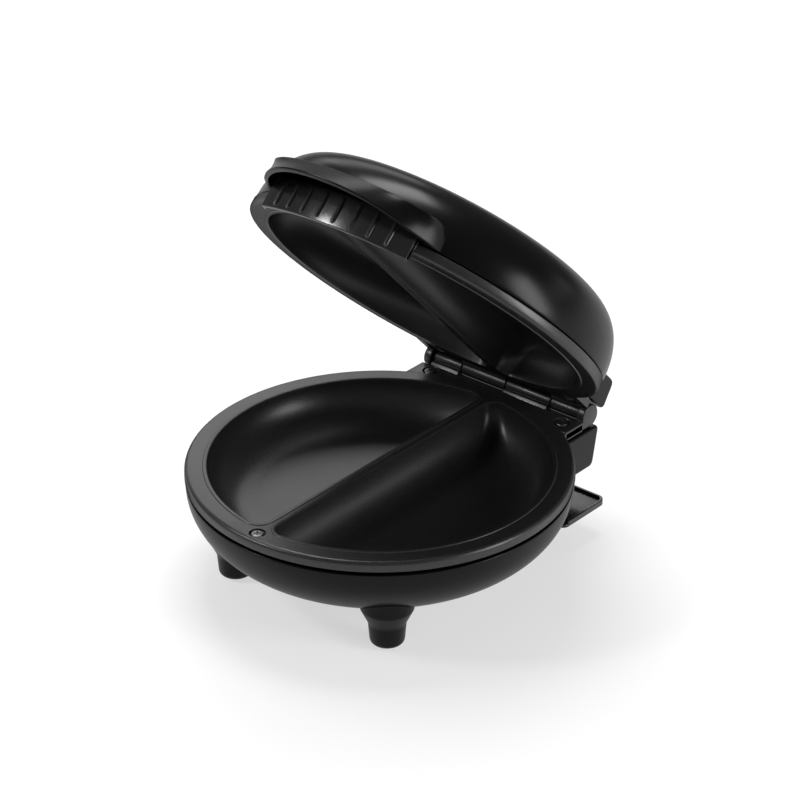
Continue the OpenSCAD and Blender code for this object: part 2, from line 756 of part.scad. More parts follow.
module terminal_block() {
    pole = 8;
    depth = 13;
    height = 11;
    base_z = base_lug_top - base_lug_h + shell_t;
    color("#d8d2c0") translate([18, hinge_y - depth - 4, base_z]) difference() {
        cube([3 * pole, depth, height]);
        for (i = [0:2]) translate([(i + 0.5) * pole, 0, 0]) {
            translate([0, -1, height * 0.45]) rotate([-90, 0, 0])
                cylinder(h = depth + 2, r = pole * 0.2, $fn = small_fn);
            for (y = [depth * 0.27, depth * 0.73])
                translate([0, y, height * 0.64]) cylinder(h = height, r = pole * 0.22, $fn = small_fn);
        }
    }
}

module lower_reflector() {
    color("#c8c8c8") reflector_dish(reflector_z, 1);
}

module lower_reflector_screws() {
    color("silver") reflector_screw_set(reflector_z, 1);
}

module lower_plate() {
    color("#3a3a3c") cook_plate(ear_out - 1.2);
}

module lower_plate_screws() {
    color("#8a8a8a") plate_screw_set(rear_seat_z - post_z + screw_bite);
}

module lower_heater() {
    color("#6c6c70") heater();
}

module lower_heater_terminals() {
    color("#e8e4da") heater_terminals();
}

module lower_heater_straps() {
    color("#b4b4b8") heater_straps();
}

module lower_strap_screws() {
    color("silver") strap_screws();
}

module thermostat() {
    color("#8c4a32") translate([0, 0, pad_z - sensor_h]) {
        cylinder(h = sensor_h - 2.5, r = sensor_r - 1.4, $fn = small_fn);
        translate([0, 0, sensor_h - 2.5 - eps]) cylinder(h = 2.5 + eps, r = sensor_r, $fn = small_fn);
        both_sides() translate([3, -3.1, -5]) cube([0.8, 6.2, 5 + eps]);
    }
}

module thermal_fuse() {
    color("#d9b25a") translate([-fuse_len / 2, fuse_y, pad_z - fuse_r - 0.1]) rotate([0, 90, 0]) {
        cylinder(h = fuse_len, r = fuse_r, $fn = small_fn);
        translate([0, 0, -4]) cylinder(h = fuse_len + 8, r = 0.6, $fn = small_fn);
    }
}

module hinge_pin() {
    head_t = 1.2;
    head_gap = 0.3;
    x0 = -ear_out - head_gap;
    color("#b0b0b4") translate([x0, hinge_y, hinge_z]) rotate([0, 90, 0]) {
        cylinder(h = 2 * ear_out - 1.2 + head_gap - 0.2, r = pin_r, $fn = small_fn);
        translate([0, 0, -head_t]) cylinder(h = head_t + eps, r = pin_r + 1.6, $fn = small_fn);
    }
}

// Outer form of the dome: an upright side that turns over a soft shoulder to a flat crown
function dome_point(t, inset) =
    [(dome_r - inset) * pow(cos(90 * t), 0.26),
        dome_z + (dome_h - inset) * pow(sin(90 * t), 0.96)];
module dome_form(inset) {
    rotate_extrude($fn = big_fn)
        polygon(concat(
            [[0, dome_z - inset], [dome_r - inset, dome_z - inset]],
            [for (i = [0:17]) dome_point(1 - pow(1 - i / 18, 1.6), inset)],
            [[0, dome_z + dome_h - inset]]));
}

// Plan of the hood at one level: straight sides from the dome, then a full round front that rises
function hood_plan(half_w, back, front, z) =
    concat([[half_w, -hood_root_y, z], [-half_w, -hood_root_y, z]],
        [for (i = [0:24]) let (a = 180 - 7.5 * i, y = back + (front - back) * pow(abs(sin(a)), 0.9))
            [half_w * sign(cos(a)) * pow(abs(cos(a)), 0.9), -y, z + hood_rise * max(y - dome_r - 4, 0)]]);

module hood_form(inset, drop) {
    w = hood_half_w - inset;
    lip_w = w + hood_flare;
    lip_back = dome_r - 35;
    brow_back = dome_r - 9.4;
    lip = hood_front - inset * 1.3;
    brow = hood_brow - inset * 1.2;
    loft([
        hood_plan(lip_w, lip_back, lip, dome_z - drop),
        hood_plan(lip_w, lip_back, lip, dome_z + 1),
        hood_plan(w + 0.6, brow_back + 1, brow + 2, dome_z + hood_h - 1.4 - inset),
        hood_plan(w, brow_back, brow - 1, dome_z + hood_h - inset),
        hood_plan(w - 6, brow_back - 4, brow - 14, dome_z + hood_h + 1.2 - inset)]);
}

module lid_posts() {
    for (s = plate_screws)
        translate([s.x, s.y, 2 * mate_z - post_z]) cylinder(h = 40, r = post_r, $fn = small_fn);
}

module lid_housing() {
    color("#141414") opened() difference() {
        union() {
            dome_form(0);
            lid_lug(0);
            hood_form(0, 0);
        }
        difference() {
            union() {
                dome_form(shell_t);
                lid_lug(shell_t);
                // Mouth of the lug block, over the apron of the upper plate
                translate([-lug_half_w + shell_t, lug_front_y, lid_lug_bottom - 3])
                    cube([2 * (lug_half_w - shell_t), apron_shoulder_y - lug_front_y, shell_t + 4]);
            }
            lid_posts();
            for (p = reflector_posts)
                translate([p.x, p.y, upper_reflector_z]) cylinder(h = 20, r = reflector_post_r, $fn = small_fn);
        }
        difference() {
            hood_form(hood_t, 1);
            cylinder(h = 3 * seam_z, r = dome_r, $fn = big_fn);
        }
        for (s = plate_screws)
            translate([s.x, s.y, 2 * mate_z - post_z - 2])
                cylinder(h = screw_reach + 2, r = screw_r + pilot_clear, $fn = small_fn);
        for (p = reflector_posts)
            translate([p.x, p.y, upper_reflector_z - 1])
                cylinder(h = 3.6, r = small_screw_r + pilot_clear, $fn = small_fn);
        both_sides() translate([grip_screw_x, -dome_r, grip_screw_z]) rotate([-90, 0, 0])
            cylinder(h = 20, r = small_screw_r + 0.2, $fn = small_fn);
    }
}

// Ribbed wall of the handle, with a flange behind it that sits on the dome
module handle_grip() {
    back_r = dome_r + grip_gap;
    color("#1b1b1b") opened() intersection() {
        difference() {
            union() {
                rotate_extrude($fn = big_fn)
                    polygon([
                        [grip_r - grip_t, grip_z], [grip_r, grip_z], [grip_r, grip_top],
                        [back_r, grip_top], [back_r, grip_top - 2], [grip_r - grip_t, grip_top - 2]]);
                difference() {
                    both_sides() translate([grip_half_w - 2.2, -grip_r, grip_z])
                        cube([2.2, 40, grip_top - grip_z]);
                    cylinder(h = 3 * seam_z, r = plate_r + 1.5, $fn = big_fn);
                }
                for (i = [0:rib_count - 1])
                    rotate([0, 0, rib_pitch * (i - (rib_count - 1) / 2)])
                        translate([0, -grip_r + 0.1, grip_z + 1.4])
                            cylinder(h = grip_top - grip_z - 2.8, r = rib_r, $fn = 24);
                difference() {
                    both_sides() translate([grip_screw_x, -grip_r + 1, grip_screw_z]) rotate([-90, 0, 0])
                        cylinder(h = grip_screw_len + 6, r = grip_boss_r, $fn = small_fn);
                    cylinder(h = 3 * seam_z, r = back_r, $fn = big_fn);
                }
            }
            both_sides() translate([grip_screw_x, -grip_r + grip_t, grip_screw_z]) rotate([-90, 0, 0])
                cylinder(h = grip_screw_len + 6, r = small_screw_r + pilot_clear, $fn = small_fn);
        }
        translate([-grip_half_w, -grip_r - 3, grip_z - 1])
            cube([2 * grip_half_w, grip_r * 0.5, grip_top - grip_z + 2]);
        hood_form(hood_t + grip_gap, grip_drop + 1);
    }
}

module grip_screws() {
    seat_y = -sqrt(pow(dome_r - shell_t - 0.6, 2) - pow(grip_screw_x, 2)) + 0.6;
    color("silver") opened() both_sides() translate([grip_screw_x, seat_y, grip_screw_z]) rotate([90, 0, 0]) {
        translate([0, 0, -small_head_h]) cylinder(h = small_head_h, r = small_head_r, $fn = small_fn);
        translate([0, 0, -eps]) cylinder(h = grip_screw_len, r = small_screw_r, $fn = small_fn);
    }
}

module upper_plate() {
    color("#3a3a3c") opened() turned_over() cook_plate(ear_out + 1);
}

module upper_plate_screws() {
    color("#8a8a8a") opened() turned_over() plate_screw_set(rear_seat_z - post_z + screw_bite);
}

module upper_heater() {
    color("#6c6c70") opened() turned_over() heater();
}

module upper_heater_terminals() {
    color("#e8e4da") opened() turned_over() heater_terminals();
}

module upper_heater_straps() {
    color("#b4b4b8") opened() turned_over() heater_straps();
}

module upper_strap_screws() {
    color("silver") opened() turned_over() strap_screws();
}

module upper_reflector() {
    color("#c8c8c8") opened() reflector_dish(upper_reflector_z, -1);
}

module upper_reflector_screws() {
    color("silver") opened() reflector_screw_set(upper_reflector_z, -1);
}

base_housing();
bottom_cover();
legs();
leg_screws();
foot_pads();
cord_wrap_bracket();
bracket_screws();
cord_bush();
terminal_block();
lower_reflector();
lower_reflector_screws();
lower_plate();
lower_plate_screws();
lower_heater();
lower_heater_terminals();
lower_heater_straps();
lower_strap_screws();
thermostat();
thermal_fuse();
hinge_pin();
lid_housing();
handle_grip();
grip_screws();
upper_plate();
upper_plate_screws();
upper_heater();
upper_heater_terminals();
upper_heater_straps();
upper_strap_screws();
upper_reflector();
upper_reflector_screws();
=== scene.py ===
import bpy
import bmesh
import json
import math
from mathutils import Matrix, Vector


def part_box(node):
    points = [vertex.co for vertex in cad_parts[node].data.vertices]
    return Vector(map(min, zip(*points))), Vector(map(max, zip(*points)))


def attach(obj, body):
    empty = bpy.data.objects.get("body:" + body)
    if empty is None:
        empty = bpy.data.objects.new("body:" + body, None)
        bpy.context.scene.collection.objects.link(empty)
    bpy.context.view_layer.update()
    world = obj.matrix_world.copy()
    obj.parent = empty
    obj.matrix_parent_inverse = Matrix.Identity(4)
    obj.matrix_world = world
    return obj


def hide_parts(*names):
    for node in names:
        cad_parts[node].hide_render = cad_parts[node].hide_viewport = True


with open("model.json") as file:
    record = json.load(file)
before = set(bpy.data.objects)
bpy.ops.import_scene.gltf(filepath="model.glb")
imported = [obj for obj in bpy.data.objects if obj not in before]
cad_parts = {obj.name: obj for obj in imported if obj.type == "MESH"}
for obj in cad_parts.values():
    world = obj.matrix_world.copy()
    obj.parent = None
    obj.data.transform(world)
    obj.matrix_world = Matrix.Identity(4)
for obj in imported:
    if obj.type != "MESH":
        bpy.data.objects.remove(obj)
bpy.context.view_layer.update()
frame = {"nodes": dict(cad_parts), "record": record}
nodes = frame["nodes"]
print("frame loaded:", len(nodes), "nodes")

scene = bpy.context.scene
scene.view_settings.view_transform = "Standard"

# camera: worked out from the plates' circles and the hinge line
shot = {"azimuth": 40.03, "elevation": 28.63, "distance": 1.896, "focal": 3430.07, "frame": 800, "film": 36,
        "aimRight": 0.01106, "aimUp": 0.03901, "baseHeight": 0.061, "near": 0.05, "far": 20}
azimuth, elevation = math.radians(shot["azimuth"]), math.radians(shot["elevation"])
toCamera = Vector((math.sin(azimuth) * math.cos(elevation), -math.cos(azimuth) * math.cos(elevation),
                   math.sin(elevation)))
sideways = Vector((math.cos(azimuth), math.sin(azimuth), 0))
upwards = toCamera.cross(sideways)
aim = Vector((0, 0, shot["baseHeight"])) + sideways * shot["aimRight"] + upwards * shot["aimUp"]
cameraData = bpy.data.cameras.new("camera")
cameraData.sensor_width = shot["film"]
cameraData.lens = shot["focal"] / shot["frame"] * shot["film"]
cameraData.clip_start, cameraData.clip_end = shot["near"], shot["far"]
camera = bpy.data.objects.new("camera", cameraData)
scene.collection.objects.link(camera)
camera.location = aim + toCamera * shot["distance"]
camera.rotation_mode = "QUATERNION"
camera.rotation_quaternion = (-toCamera).to_track_quat("-Z", "Y")
scene.camera = camera
print("camera set")


# shader maths: a wrapped socket, so that an expression adds its Math nodes
class Sig:
    def __init__(self, shader, socket):
        self.shader, self.socket = shader, socket

    def math(self, operation, a, b=None, clamp=False):
        inputs = {0: a} if b is None else {0: a, 1: b}
        return self.shader.add("ShaderNodeMath", {"operation": operation, "use_clamp": clamp}, inputs)[0]

    def __add__(self, other): return self.math("ADD", self, other)
    def __radd__(self, other): return self.math("ADD", other, self)
    def __sub__(self, other): return self.math("SUBTRACT", self, other)
    def __rsub__(self, other): return self.math("SUBTRACT", other, self)
    def __mul__(self, other): return self.math("MULTIPLY", self, other)
    def __rmul__(self, other): return self.math("MULTIPLY", other, self)
    def clamped(self): return self.math("ADD", self, 0.0, True)


class Shader:
    def __init__(self, holder, output="ShaderNodeOutputMaterial"):
        self.holder = holder
        holder.use_nodes = True
        self.tree = holder.node_tree
        self.tree.nodes.clear()
        self.output = self.tree.nodes.new(output)

    def add(self, kind, settings=None, inputs=None):
        node = self.tree.nodes.new(kind)
        for key, value in (settings or {}).items():
            if key == "stops":
                ramp = node.color_ramp
                while len(ramp.elements) < len(value):
                    ramp.elements.new(0.5)
                for element, (position, shade) in zip(ramp.elements, value):
                    element.position, element.color = position, (*shade, 1) if len(shade) == 3 else shade
            else:
                setattr(node, key, value)
        for key, value in (inputs or {}).items():
            socket = node.inputs[key]
            if isinstance(value, Sig):
                self.tree.links.new(value.socket, socket)
            else:
                socket.default_value = value
        return [Sig(self, s) for s in node.outputs]

    def finish(self, surface):
        self.tree.links.new(surface.socket, self.output.inputs["Surface"])
        return self.holder


def noiseFor(shader, coords, scale, detail=2.0, roughness=0.5):
    return shader.add("ShaderNodeTexNoise", {}, {
        "Vector": coords, "Scale": scale, "Detail": detail, "Roughness": roughness})[0]


def bumpFrom(shader, height, strength, distance):
    return shader.add("ShaderNodeBump", {}, {"Height": height, "Strength": strength, "Distance": distance})[0]


# 0 on flat ground, towards 1 on edges tighter than the reach; it places the pale edge paint, partly wear and partly a
# painted highlight
def edgeMask(shader, reach, gain):
    bent = shader.add("ShaderNodeBevel", {"samples": 6}, {"Radius": reach})[0]
    straight = shader.add("ShaderNodeNewGeometry")[1]
    match = shader.add("ShaderNodeVectorMath", {"operation": "DOT_PRODUCT"}, {0: bent, 1: straight})[1]
    return ((1 - match) * gain).clamped()


def blended(shader, share, low, high):
    return shader.add("ShaderNodeMix", {"data_type": "RGBA"}, {
        0: share, 6: low if isinstance(low, Sig) else (*low, 1), 7: high if isinstance(high, Sig) else (*high, 1)})[2]


# fine grain scatters a low view, where a smooth coat would mirror
def scattered(shader, surface, colour, start, most):
    facing = shader.add("ShaderNodeLayerWeight", {}, {"Blend": 0.5})[1]
    dull = shader.add("ShaderNodeBsdfDiffuse", {}, {"Color": colour})[0]
    share = ((facing - start) * 3).clamped() * most
    return shader.add("ShaderNodeMixShader", {}, {0: share, 1: surface, 2: dull})[0]


# moulded plastics: cloudy gloss, fine grain, handling haze, and edges rubbed smooth and painted paler, partly as wear
# and partly as a painted highlight along the edges
def mouldedPlastic(name, look):
    shader = Shader(bpy.data.materials.new(name))
    coords = shader.add("ShaderNodeTexCoord")[3]
    cloud = noiseFor(shader, coords, look["cloudScale"], 3)
    grain = noiseFor(shader, coords, look["grainScale"], 2)
    haze = noiseFor(shader, coords, look["cloudScale"] * 3.1, 5, 0.65)
    # edges painted paler: partly rubbed wear, partly a painted highlight line
    paleEdgeShare = edgeMask(shader, 0.0009, look["edgeGain"]) * (0.35 + haze * 0.9)
    colour = blended(shader, paleEdgeShare.clamped(), blended(shader, cloud, look["dark"], look["light"]), look["edge"])
    rough = look["roughness"] + (cloud - 0.5) * look["cloud"] + (grain - 0.5) * look["grainRough"]
    rough = rough + (haze - 0.5) * look["haze"]
    surface = shader.add("ShaderNodeBsdfPrincipled", {}, {
        "Base Color": colour, "Roughness": rough.clamped(), "IOR": look["ior"], "Specular IOR Level": look["sheen"],
        "Normal": bumpFrom(shader, grain, look["bump"], look["bumpDepth"])})[0]
    return shader.finish(scattered(shader, surface, colour, 0.45, 0.4))


# each "edge" colour is painted on the edges: partly wear, partly a painted highlight
glossBlack = mouldedPlastic("glossBlack", {
    "dark": (0.0015, 0.0015, 0.0018), "light": (0.003, 0.003, 0.0034), "edge": (0.035, 0.035, 0.036), "edgeGain": 1.2,
    "roughness": 0.25, "cloud": 0.05, "haze": 0.05, "grainRough": 0.03,
    "cloudScale": 9, "grainScale": 900, "bump": 0.05, "bumpDepth": 0.0003, "sheen": 0.15, "ior": 1.52})
satinBlack = mouldedPlastic("satinBlack", {
    "dark": (0.006, 0.006, 0.007), "light": (0.012, 0.012, 0.013), "edge": (0.08, 0.08, 0.082), "edgeGain": 1.8,
    "roughness": 0.2, "cloud": 0.08, "haze": 0.06, "grainRough": 0.08,
    "cloudScale": 14, "grainScale": 1400, "bump": 0.1, "bumpDepth": 0.0003, "sheen": 0.6, "ior": 1.52})
rubberBlack = mouldedPlastic("rubberBlack", {
    "dark": (0.018, 0.018, 0.018), "light": (0.03, 0.03, 0.03), "edge": (0.06, 0.06, 0.06), "edgeGain": 1,
    "roughness": 0.7, "cloud": 0.1, "haze": 0.1, "grainRough": 0.1,
    "cloudScale": 20, "grainScale": 1200, "bump": 0.3, "bumpDepth": 0.0003, "sheen": 0.3, "ior": 1.5})
paleCeramic = mouldedPlastic("paleCeramic", {
    "dark": (0.66, 0.62, 0.54), "light": (0.78, 0.75, 0.68), "edge": (0.84, 0.82, 0.78), "edgeGain": 1,
    "roughness": 0.55, "cloud": 0.1, "haze": 0.1, "grainRough": 0.1,
    "cloudScale": 60, "grainScale": 900, "bump": 0.2, "bumpDepth": 0.0003, "sheen": 0.5, "ior": 1.5})
brownPhenolic = mouldedPlastic("brownPhenolic", {
    "dark": (0.09, 0.035, 0.02), "light": (0.14, 0.06, 0.035), "edge": (0.2, 0.1, 0.06), "edgeGain": 1,
    "roughness": 0.4, "cloud": 0.1, "haze": 0.1, "grainRough": 0.1,
    "cloudScale": 60, "grainScale": 900, "bump": 0.15, "bumpDepth": 0.0003, "sheen": 0.5, "ior": 1.5})


# non-stick coating: dark grey, fine sprayed speckle with a soft orange peel, edges painted paler: partly rubbed wear,
# mostly a painted highlight line
def nonStickCoat(name, look):
    shader = Shader(bpy.data.materials.new(name))
    coords = shader.add("ShaderNodeTexCoord")[3]
    speckle = noiseFor(shader, coords, look["speckleScale"], 2, 0.6)
    peel = noiseFor(shader, coords, look["peelScale"], 2)
    cloud = noiseFor(shader, coords, look["cloudScale"], 3)
    stops = [(0.45, look["dark"]), (0.72, look["light"])]
    spots = shader.add("ShaderNodeValToRGB", {"stops": stops}, {"Fac": speckle})[0]
    # edges painted paler: partly rubbed wear, mostly the painted highlight line along rims and beads
    paleEdgeShare = edgeMask(shader, 0.0008, look["edgeGain"]) * (0.4 + cloud * 0.8)
    rough = look["roughness"] + (cloud - 0.5) * look["cloud"] + (speckle - 0.5) * look["speckle"] - paleEdgeShare * look["polish"]
    surface = shader.add("ShaderNodeBsdfPrincipled", {}, {
        "Base Color": blended(shader, paleEdgeShare.clamped(), spots, look["edge"]), "Roughness": rough.clamped(), "IOR": 1.5,
        "Normal": bumpFrom(shader, speckle * 0.6 + peel * 0.4, look["bump"], 0.0003)})[0]
    return shader.finish(scattered(shader, surface, spots, 0.55, 0.92))


# the pale "edge" colour paints the bright highlight line along the plate's rims and beads, partly wear too
coatedPlate = nonStickCoat("coatedPlate", {
    "dark": (0.011, 0.011, 0.012), "light": (0.028, 0.028, 0.030), "edge": (0.17, 0.17, 0.175), "edgeGain": 1.8,
    "roughness": 0.34, "cloud": 0.10, "speckle": 0.12, "polish": 0.06, "cloudScale": 18, "speckleScale": 1500,
    "peelScale": 420, "bump": 0.18})


# bare metals: fine scratches along one axis, bright edges
def bareMetal(name, look):
    shader = Shader(bpy.data.materials.new(name))
    coords = shader.add("ShaderNodeTexCoord")[3]
    stretched = shader.add("ShaderNodeMapping", {}, {"Vector": coords, "Scale": look["stretch"]})[0]
    lines = noiseFor(shader, stretched, look["lineScale"], 2)
    cloud = noiseFor(shader, coords, 120, 3)
    paleEdgeShare = edgeMask(shader, 0.0004, 1.5)
    rubbed = [min(c * 1.4, 0.8) for c in look["light"]]
    colour = blended(shader, paleEdgeShare, blended(shader, cloud, look["dark"], look["light"]), rubbed)
    rough = look["roughness"] + (lines - 0.5) * 0.16
    surface = shader.add("ShaderNodeBsdfPrincipled", {}, {
        "Base Color": colour, "Metallic": 1.0, "Roughness": rough.clamped(),
        "Normal": bumpFrom(shader, lines, look["bump"], 0.0002)})[0]
    return shader.finish(surface)


zincSteel = bareMetal("zincSteel", {
    "dark": (0.42, 0.42, 0.43), "light": (0.56, 0.56, 0.57),
    "roughness": 0.34, "stretch": (1, 1, 8), "lineScale": 500, "bump": 0.2})
darkSteel = bareMetal("darkSteel", {
    "dark": (0.13, 0.13, 0.135), "light": (0.2, 0.2, 0.205),
    "roughness": 0.38, "stretch": (8, 1, 1), "lineScale": 400, "bump": 0.2})
sheathSteel = bareMetal("sheathSteel", {
    "dark": (0.12, 0.115, 0.11), "light": (0.2, 0.19, 0.18),
    "roughness": 0.5, "stretch": (1, 1, 4), "lineScale": 300, "bump": 0.25})
brightSheet = bareMetal("brightSheet", {
    "dark": (0.62, 0.62, 0.63), "light": (0.72, 0.72, 0.73),
    "roughness": 0.28, "stretch": (1, 20, 1), "lineScale": 160, "bump": 0.1})
platedBrass = bareMetal("platedBrass", {
    "dark": (0.55, 0.42, 0.2), "light": (0.66, 0.52, 0.28),
    "roughness": 0.3, "stretch": (1, 1, 4), "lineScale": 300, "bump": 0.1})
finishes = {
    "housing": glossBlack, "trim": satinBlack, "rubber": rubberBlack, "plate": coatedPlate, "plate_screw": darkSteel,
    "screw": zincSteel, "strap": zincSteel, "pin": zincSteel, "heater": sheathSteel, "reflector": brightSheet,
    "ceramic": paleCeramic, "phenolic": brownPhenolic, "fuse": platedBrass}
for part in frame["record"]["subparts"]:
    node = nodes[part["node"]]
    node.data.materials.clear()
    node.data.materials.append(finishes[part["material_slot"]])
print("finishes made and given to the nodes")


# measures shared by the pieces, in millimetres
hinge = [v * 1000 for v in frame["record"]["behaviour"]["joints"][0]["pos_m"]]
plateRadius = -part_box("lower_plate")[0][1] * 1000
plateSize = {"band": 6, "faceGap": 1.1, "cast": 2.6, "slab": 3, "edge": 2.4, "lowerEdge": 0.4,
             "border": 12.5, "web": 6.4, "corner": 8, "depth": 24, "draw": 26, "beadWidth": 2.5, "beadHeight": 0.4}
faceZ = hinge[2] - plateSize["faceGap"] / 2
seamZ = faceZ - plateSize["band"]
upperSeamZ = 2 * hinge[2] - seamZ
panZ = faceZ - plateSize["depth"] - plateSize["cast"]

hingeSpot = Matrix.Translation(hinge)
openedLid = hingeSpot @ Matrix.Rotation(math.radians(-46.5), 4, "X") @ hingeSpot.inverted()
turnedOver = Matrix.Translation((0, 0, 2 * hinge[2])) @ Matrix.Rotation(math.pi, 4, "Y")
drawnInPlace = Matrix.Identity(4)


def flat(u, v, w): return (u, v, w)
def acrossX(u, v, w): return (w, u, v)


# solid through rings of equal count, from the lowest up
def addLoft(shape, rings, capLow=True, capHigh=True):
    rows = [[shape.verts.new(p) for p in ring] for ring in rings]
    count = len(rings[0])
    for low, high in zip(rows, rows[1:]):
        for i in range(count):
            shape.faces.new((low[i], low[(i + 1) % count], high[(i + 1) % count], high[i]))
    if capLow:
        shape.faces.new(rows[0][::-1])
    if capHigh:
        shape.faces.new(rows[-1])
    return rows


# profile of (radius, height) turned about an upright line; a point on the line becomes one vertex
def addTurned(shape, profile, segments=160, centre=(0, 0), loop=False, place=flat):
    rows = []
    for r, z in profile:
        turns = range(segments) if r > 1e-5 else [0]
        angles = [2 * math.pi * k / segments for k in turns]
        spots = [(centre[0] + r * math.cos(a), centre[1] + r * math.sin(a)) for a in angles]
        rows.append([shape.verts.new(place(u, v, z)) for u, v in spots])
    pairs = list(zip(rows, rows[1:])) + ([(rows[-1], rows[0])] if loop else [])
    for low, high in pairs:
        for k in range(segments):
            n = (k + 1) % segments
            ring = [low[k % len(low)], low[n % len(low)], high[n % len(high)], high[k % len(high)]]
            shape.faces.new(list(dict.fromkeys(ring)))
    return rows


# polygon with rounded corners, drawn in by inset; points run anticlockwise
def rounded(points, radii, inset=0.0, steps=8):
    corners = [Vector(p) for p in points]
    outline, shifted, convex, count = [], [], [], len(corners)
    for i, here in enumerate(corners):
        a, b = (here - corners[i - 1]).normalized(), (corners[(i + 1) % count] - here).normalized()
        sideA, sideB = Vector((-a.y, a.x)), Vector((-b.y, b.x))
        shifted.append(here + (sideA + sideB) * inset / (1 + sideA.dot(sideB)))
        convex.append(a.x * b.y - a.y * b.x > 0)
    for i, here in enumerate(shifted):
        r = max(radii[i] - inset if convex[i] else radii[i] + inset, 0.02)
        a, b = (shifted[i - 1] - here).normalized(), (shifted[(i + 1) % count] - here).normalized()
        half = math.acos(max(-1, min(1, a.dot(b)))) / 2
        middle, reach = here + (a + b).normalized() * r / math.sin(half), r / math.tan(half)
        start, end = here + a * reach - middle, here + b * reach - middle
        first = math.atan2(start.y, start.x)
        sweep = (math.atan2(end.y, end.x) - first + math.pi) % (2 * math.pi) - math.pi
        angles = [first + sweep * k / steps for k in range(steps + 1)]
        outline += [(middle.x + r * math.cos(a), middle.y + r * math.sin(a)) for a in angles]
    return outline


# (inset, rise) pairs round a quarter of an edge
def quarter(edge, steps=4):
    return [(edge * (1 - math.sin(math.pi / 2 * k / steps)), edge * (1 - math.cos(math.pi / 2 * k / steps)))
            for k in range(steps + 1)]


# prism whose two ends have rounded edges; outlineAt gives the outline drawn in by a length
def addPrism(shape, outlineAt, low, high, edge, place=flat):
    levels = [(inset, low + rise) for inset, rise in quarter(edge)]
    levels += [(inset, high - rise) for inset, rise in quarter(edge)[::-1]]
    addLoft(shape, [[place(u, v, w) for u, v in outlineAt(inset)] for inset, w in levels])


# flat face between an outer ring of vertices and the rings of its holes
def fillBetween(shape, rings):
    edges = []
    for ring in rings:
        for i, vertex in enumerate(ring):
            after = ring[(i + 1) % len(ring)]
            edges.append(shape.edges.get((vertex, after)) or shape.edges.new((vertex, after)))
    bmesh.ops.triangle_fill(shape, use_beauty=True, edges=edges)


def ringAt(shape, points, z):
    return [shape.verts.new((x, y, z)) for x, y in points]


# the finished piece: scaled to metres, smooth with crisp edges, riding on its body
def makePiece(name, shape, body, slot, replaced, places=(drawnInPlace,), sharp=32):
    bmesh.ops.remove_doubles(shape, verts=shape.verts, dist=1e-4)
    bmesh.ops.recalc_face_normals(shape, faces=shape.faces)
    mesh = bpy.data.meshes.new(name)
    whole = bmesh.new()
    for place in places:
        shape.to_mesh(mesh)
        mesh.transform(Matrix.Scale(0.001, 4) @ place)
        whole.from_mesh(mesh)
    whole.to_mesh(mesh)
    whole.free()
    shape.free()
    mesh.shade_smooth()
    mesh.set_sharp_from_angle(angle=math.radians(sharp))
    piece = bpy.data.objects.new(name, mesh)
    scene.collection.objects.link(piece)
    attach(piece, body)
    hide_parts(replaced)
    mesh.materials.append(finishes[slot])
    print("made", name, len(mesh.polygons))
    return piece


# half-moon outline: straight side at x = s, curved side of radius r, corners of radius c
def halfMoon(r, s, c):
    y = math.sqrt((r - c) ** 2 - (s + c) ** 2)
    a = math.atan2(y, s + c)
    turn = math.pi - a
    points = [(r * math.cos(a * k / 60), r * math.sin(a * k / 60)) for k in range(-60, 61)]
    points += [(s + c + c * math.cos(a + turn * k / 16), y + c * math.sin(a + turn * k / 16)) for k in range(1, 17)]
    points += [(s, y - 2 * y * k / 30) for k in range(1, 30)]
    second = [math.pi + turn * k / 16 for k in range(16)]
    points += [(s + c + c * math.cos(b), -y + c * math.sin(b)) for b in second]
    return points


def wellOutline(grow, draw=0.0):
    return halfMoon(plateRadius - plateSize["border"] - draw + grow, plateSize["web"] / 2 + draw - grow,
                    plateSize["corner"] + draw * 0.2 + grow)


# rings of one side of the wells: t runs from the cooking face to the floor, wall is the cast thickness
def wellLevels(wall, steps=22):
    levels = []
    for k in range(1, steps + 1):
        t = math.pi / 2 * k / steps
        draw, depth = plateSize["draw"] * (1 - math.cos(t) ** 0.9), plateSize["depth"] * math.sin(t)
        levels.append((wellOutline(wall, draw), faceZ - depth - wall * k / steps))
    return levels


# cast cooking plate: face, wells with their beads, band, underside, apron, knuckles and ear
plateDetail = {"frontScrew": 7.2, "screwX": 48.2, "rearScrew": 6, "recess": 4.7, "frontRecess": 1.8, "rearRecess": 1.5,
               "apron": 4.5, "knuckle": 4.2, "knuckleIn": 32.4, "knuckleOut": 53.3, "gap": 0.3, "earThick": 5,
               "ear": 6.8, "earFront": 92, "pad": 9, "padRise": 3, "padTop": 16, "padY": (0, -30),
               "boss": 3.4, "bossDrop": 6.8, "bossX": (44.35, 59.65)}


# profile of a screw's seat sunk into a flat face, with a small chamfer at its mouth
def screwRecess(top, depth, flare, chamfer):
    r, floor = plateDetail["recess"], top - depth
    return [(r + flare, top), (r, top - chamfer), (r, floor + 0.3), (r - 0.3, floor), (0, floor)]


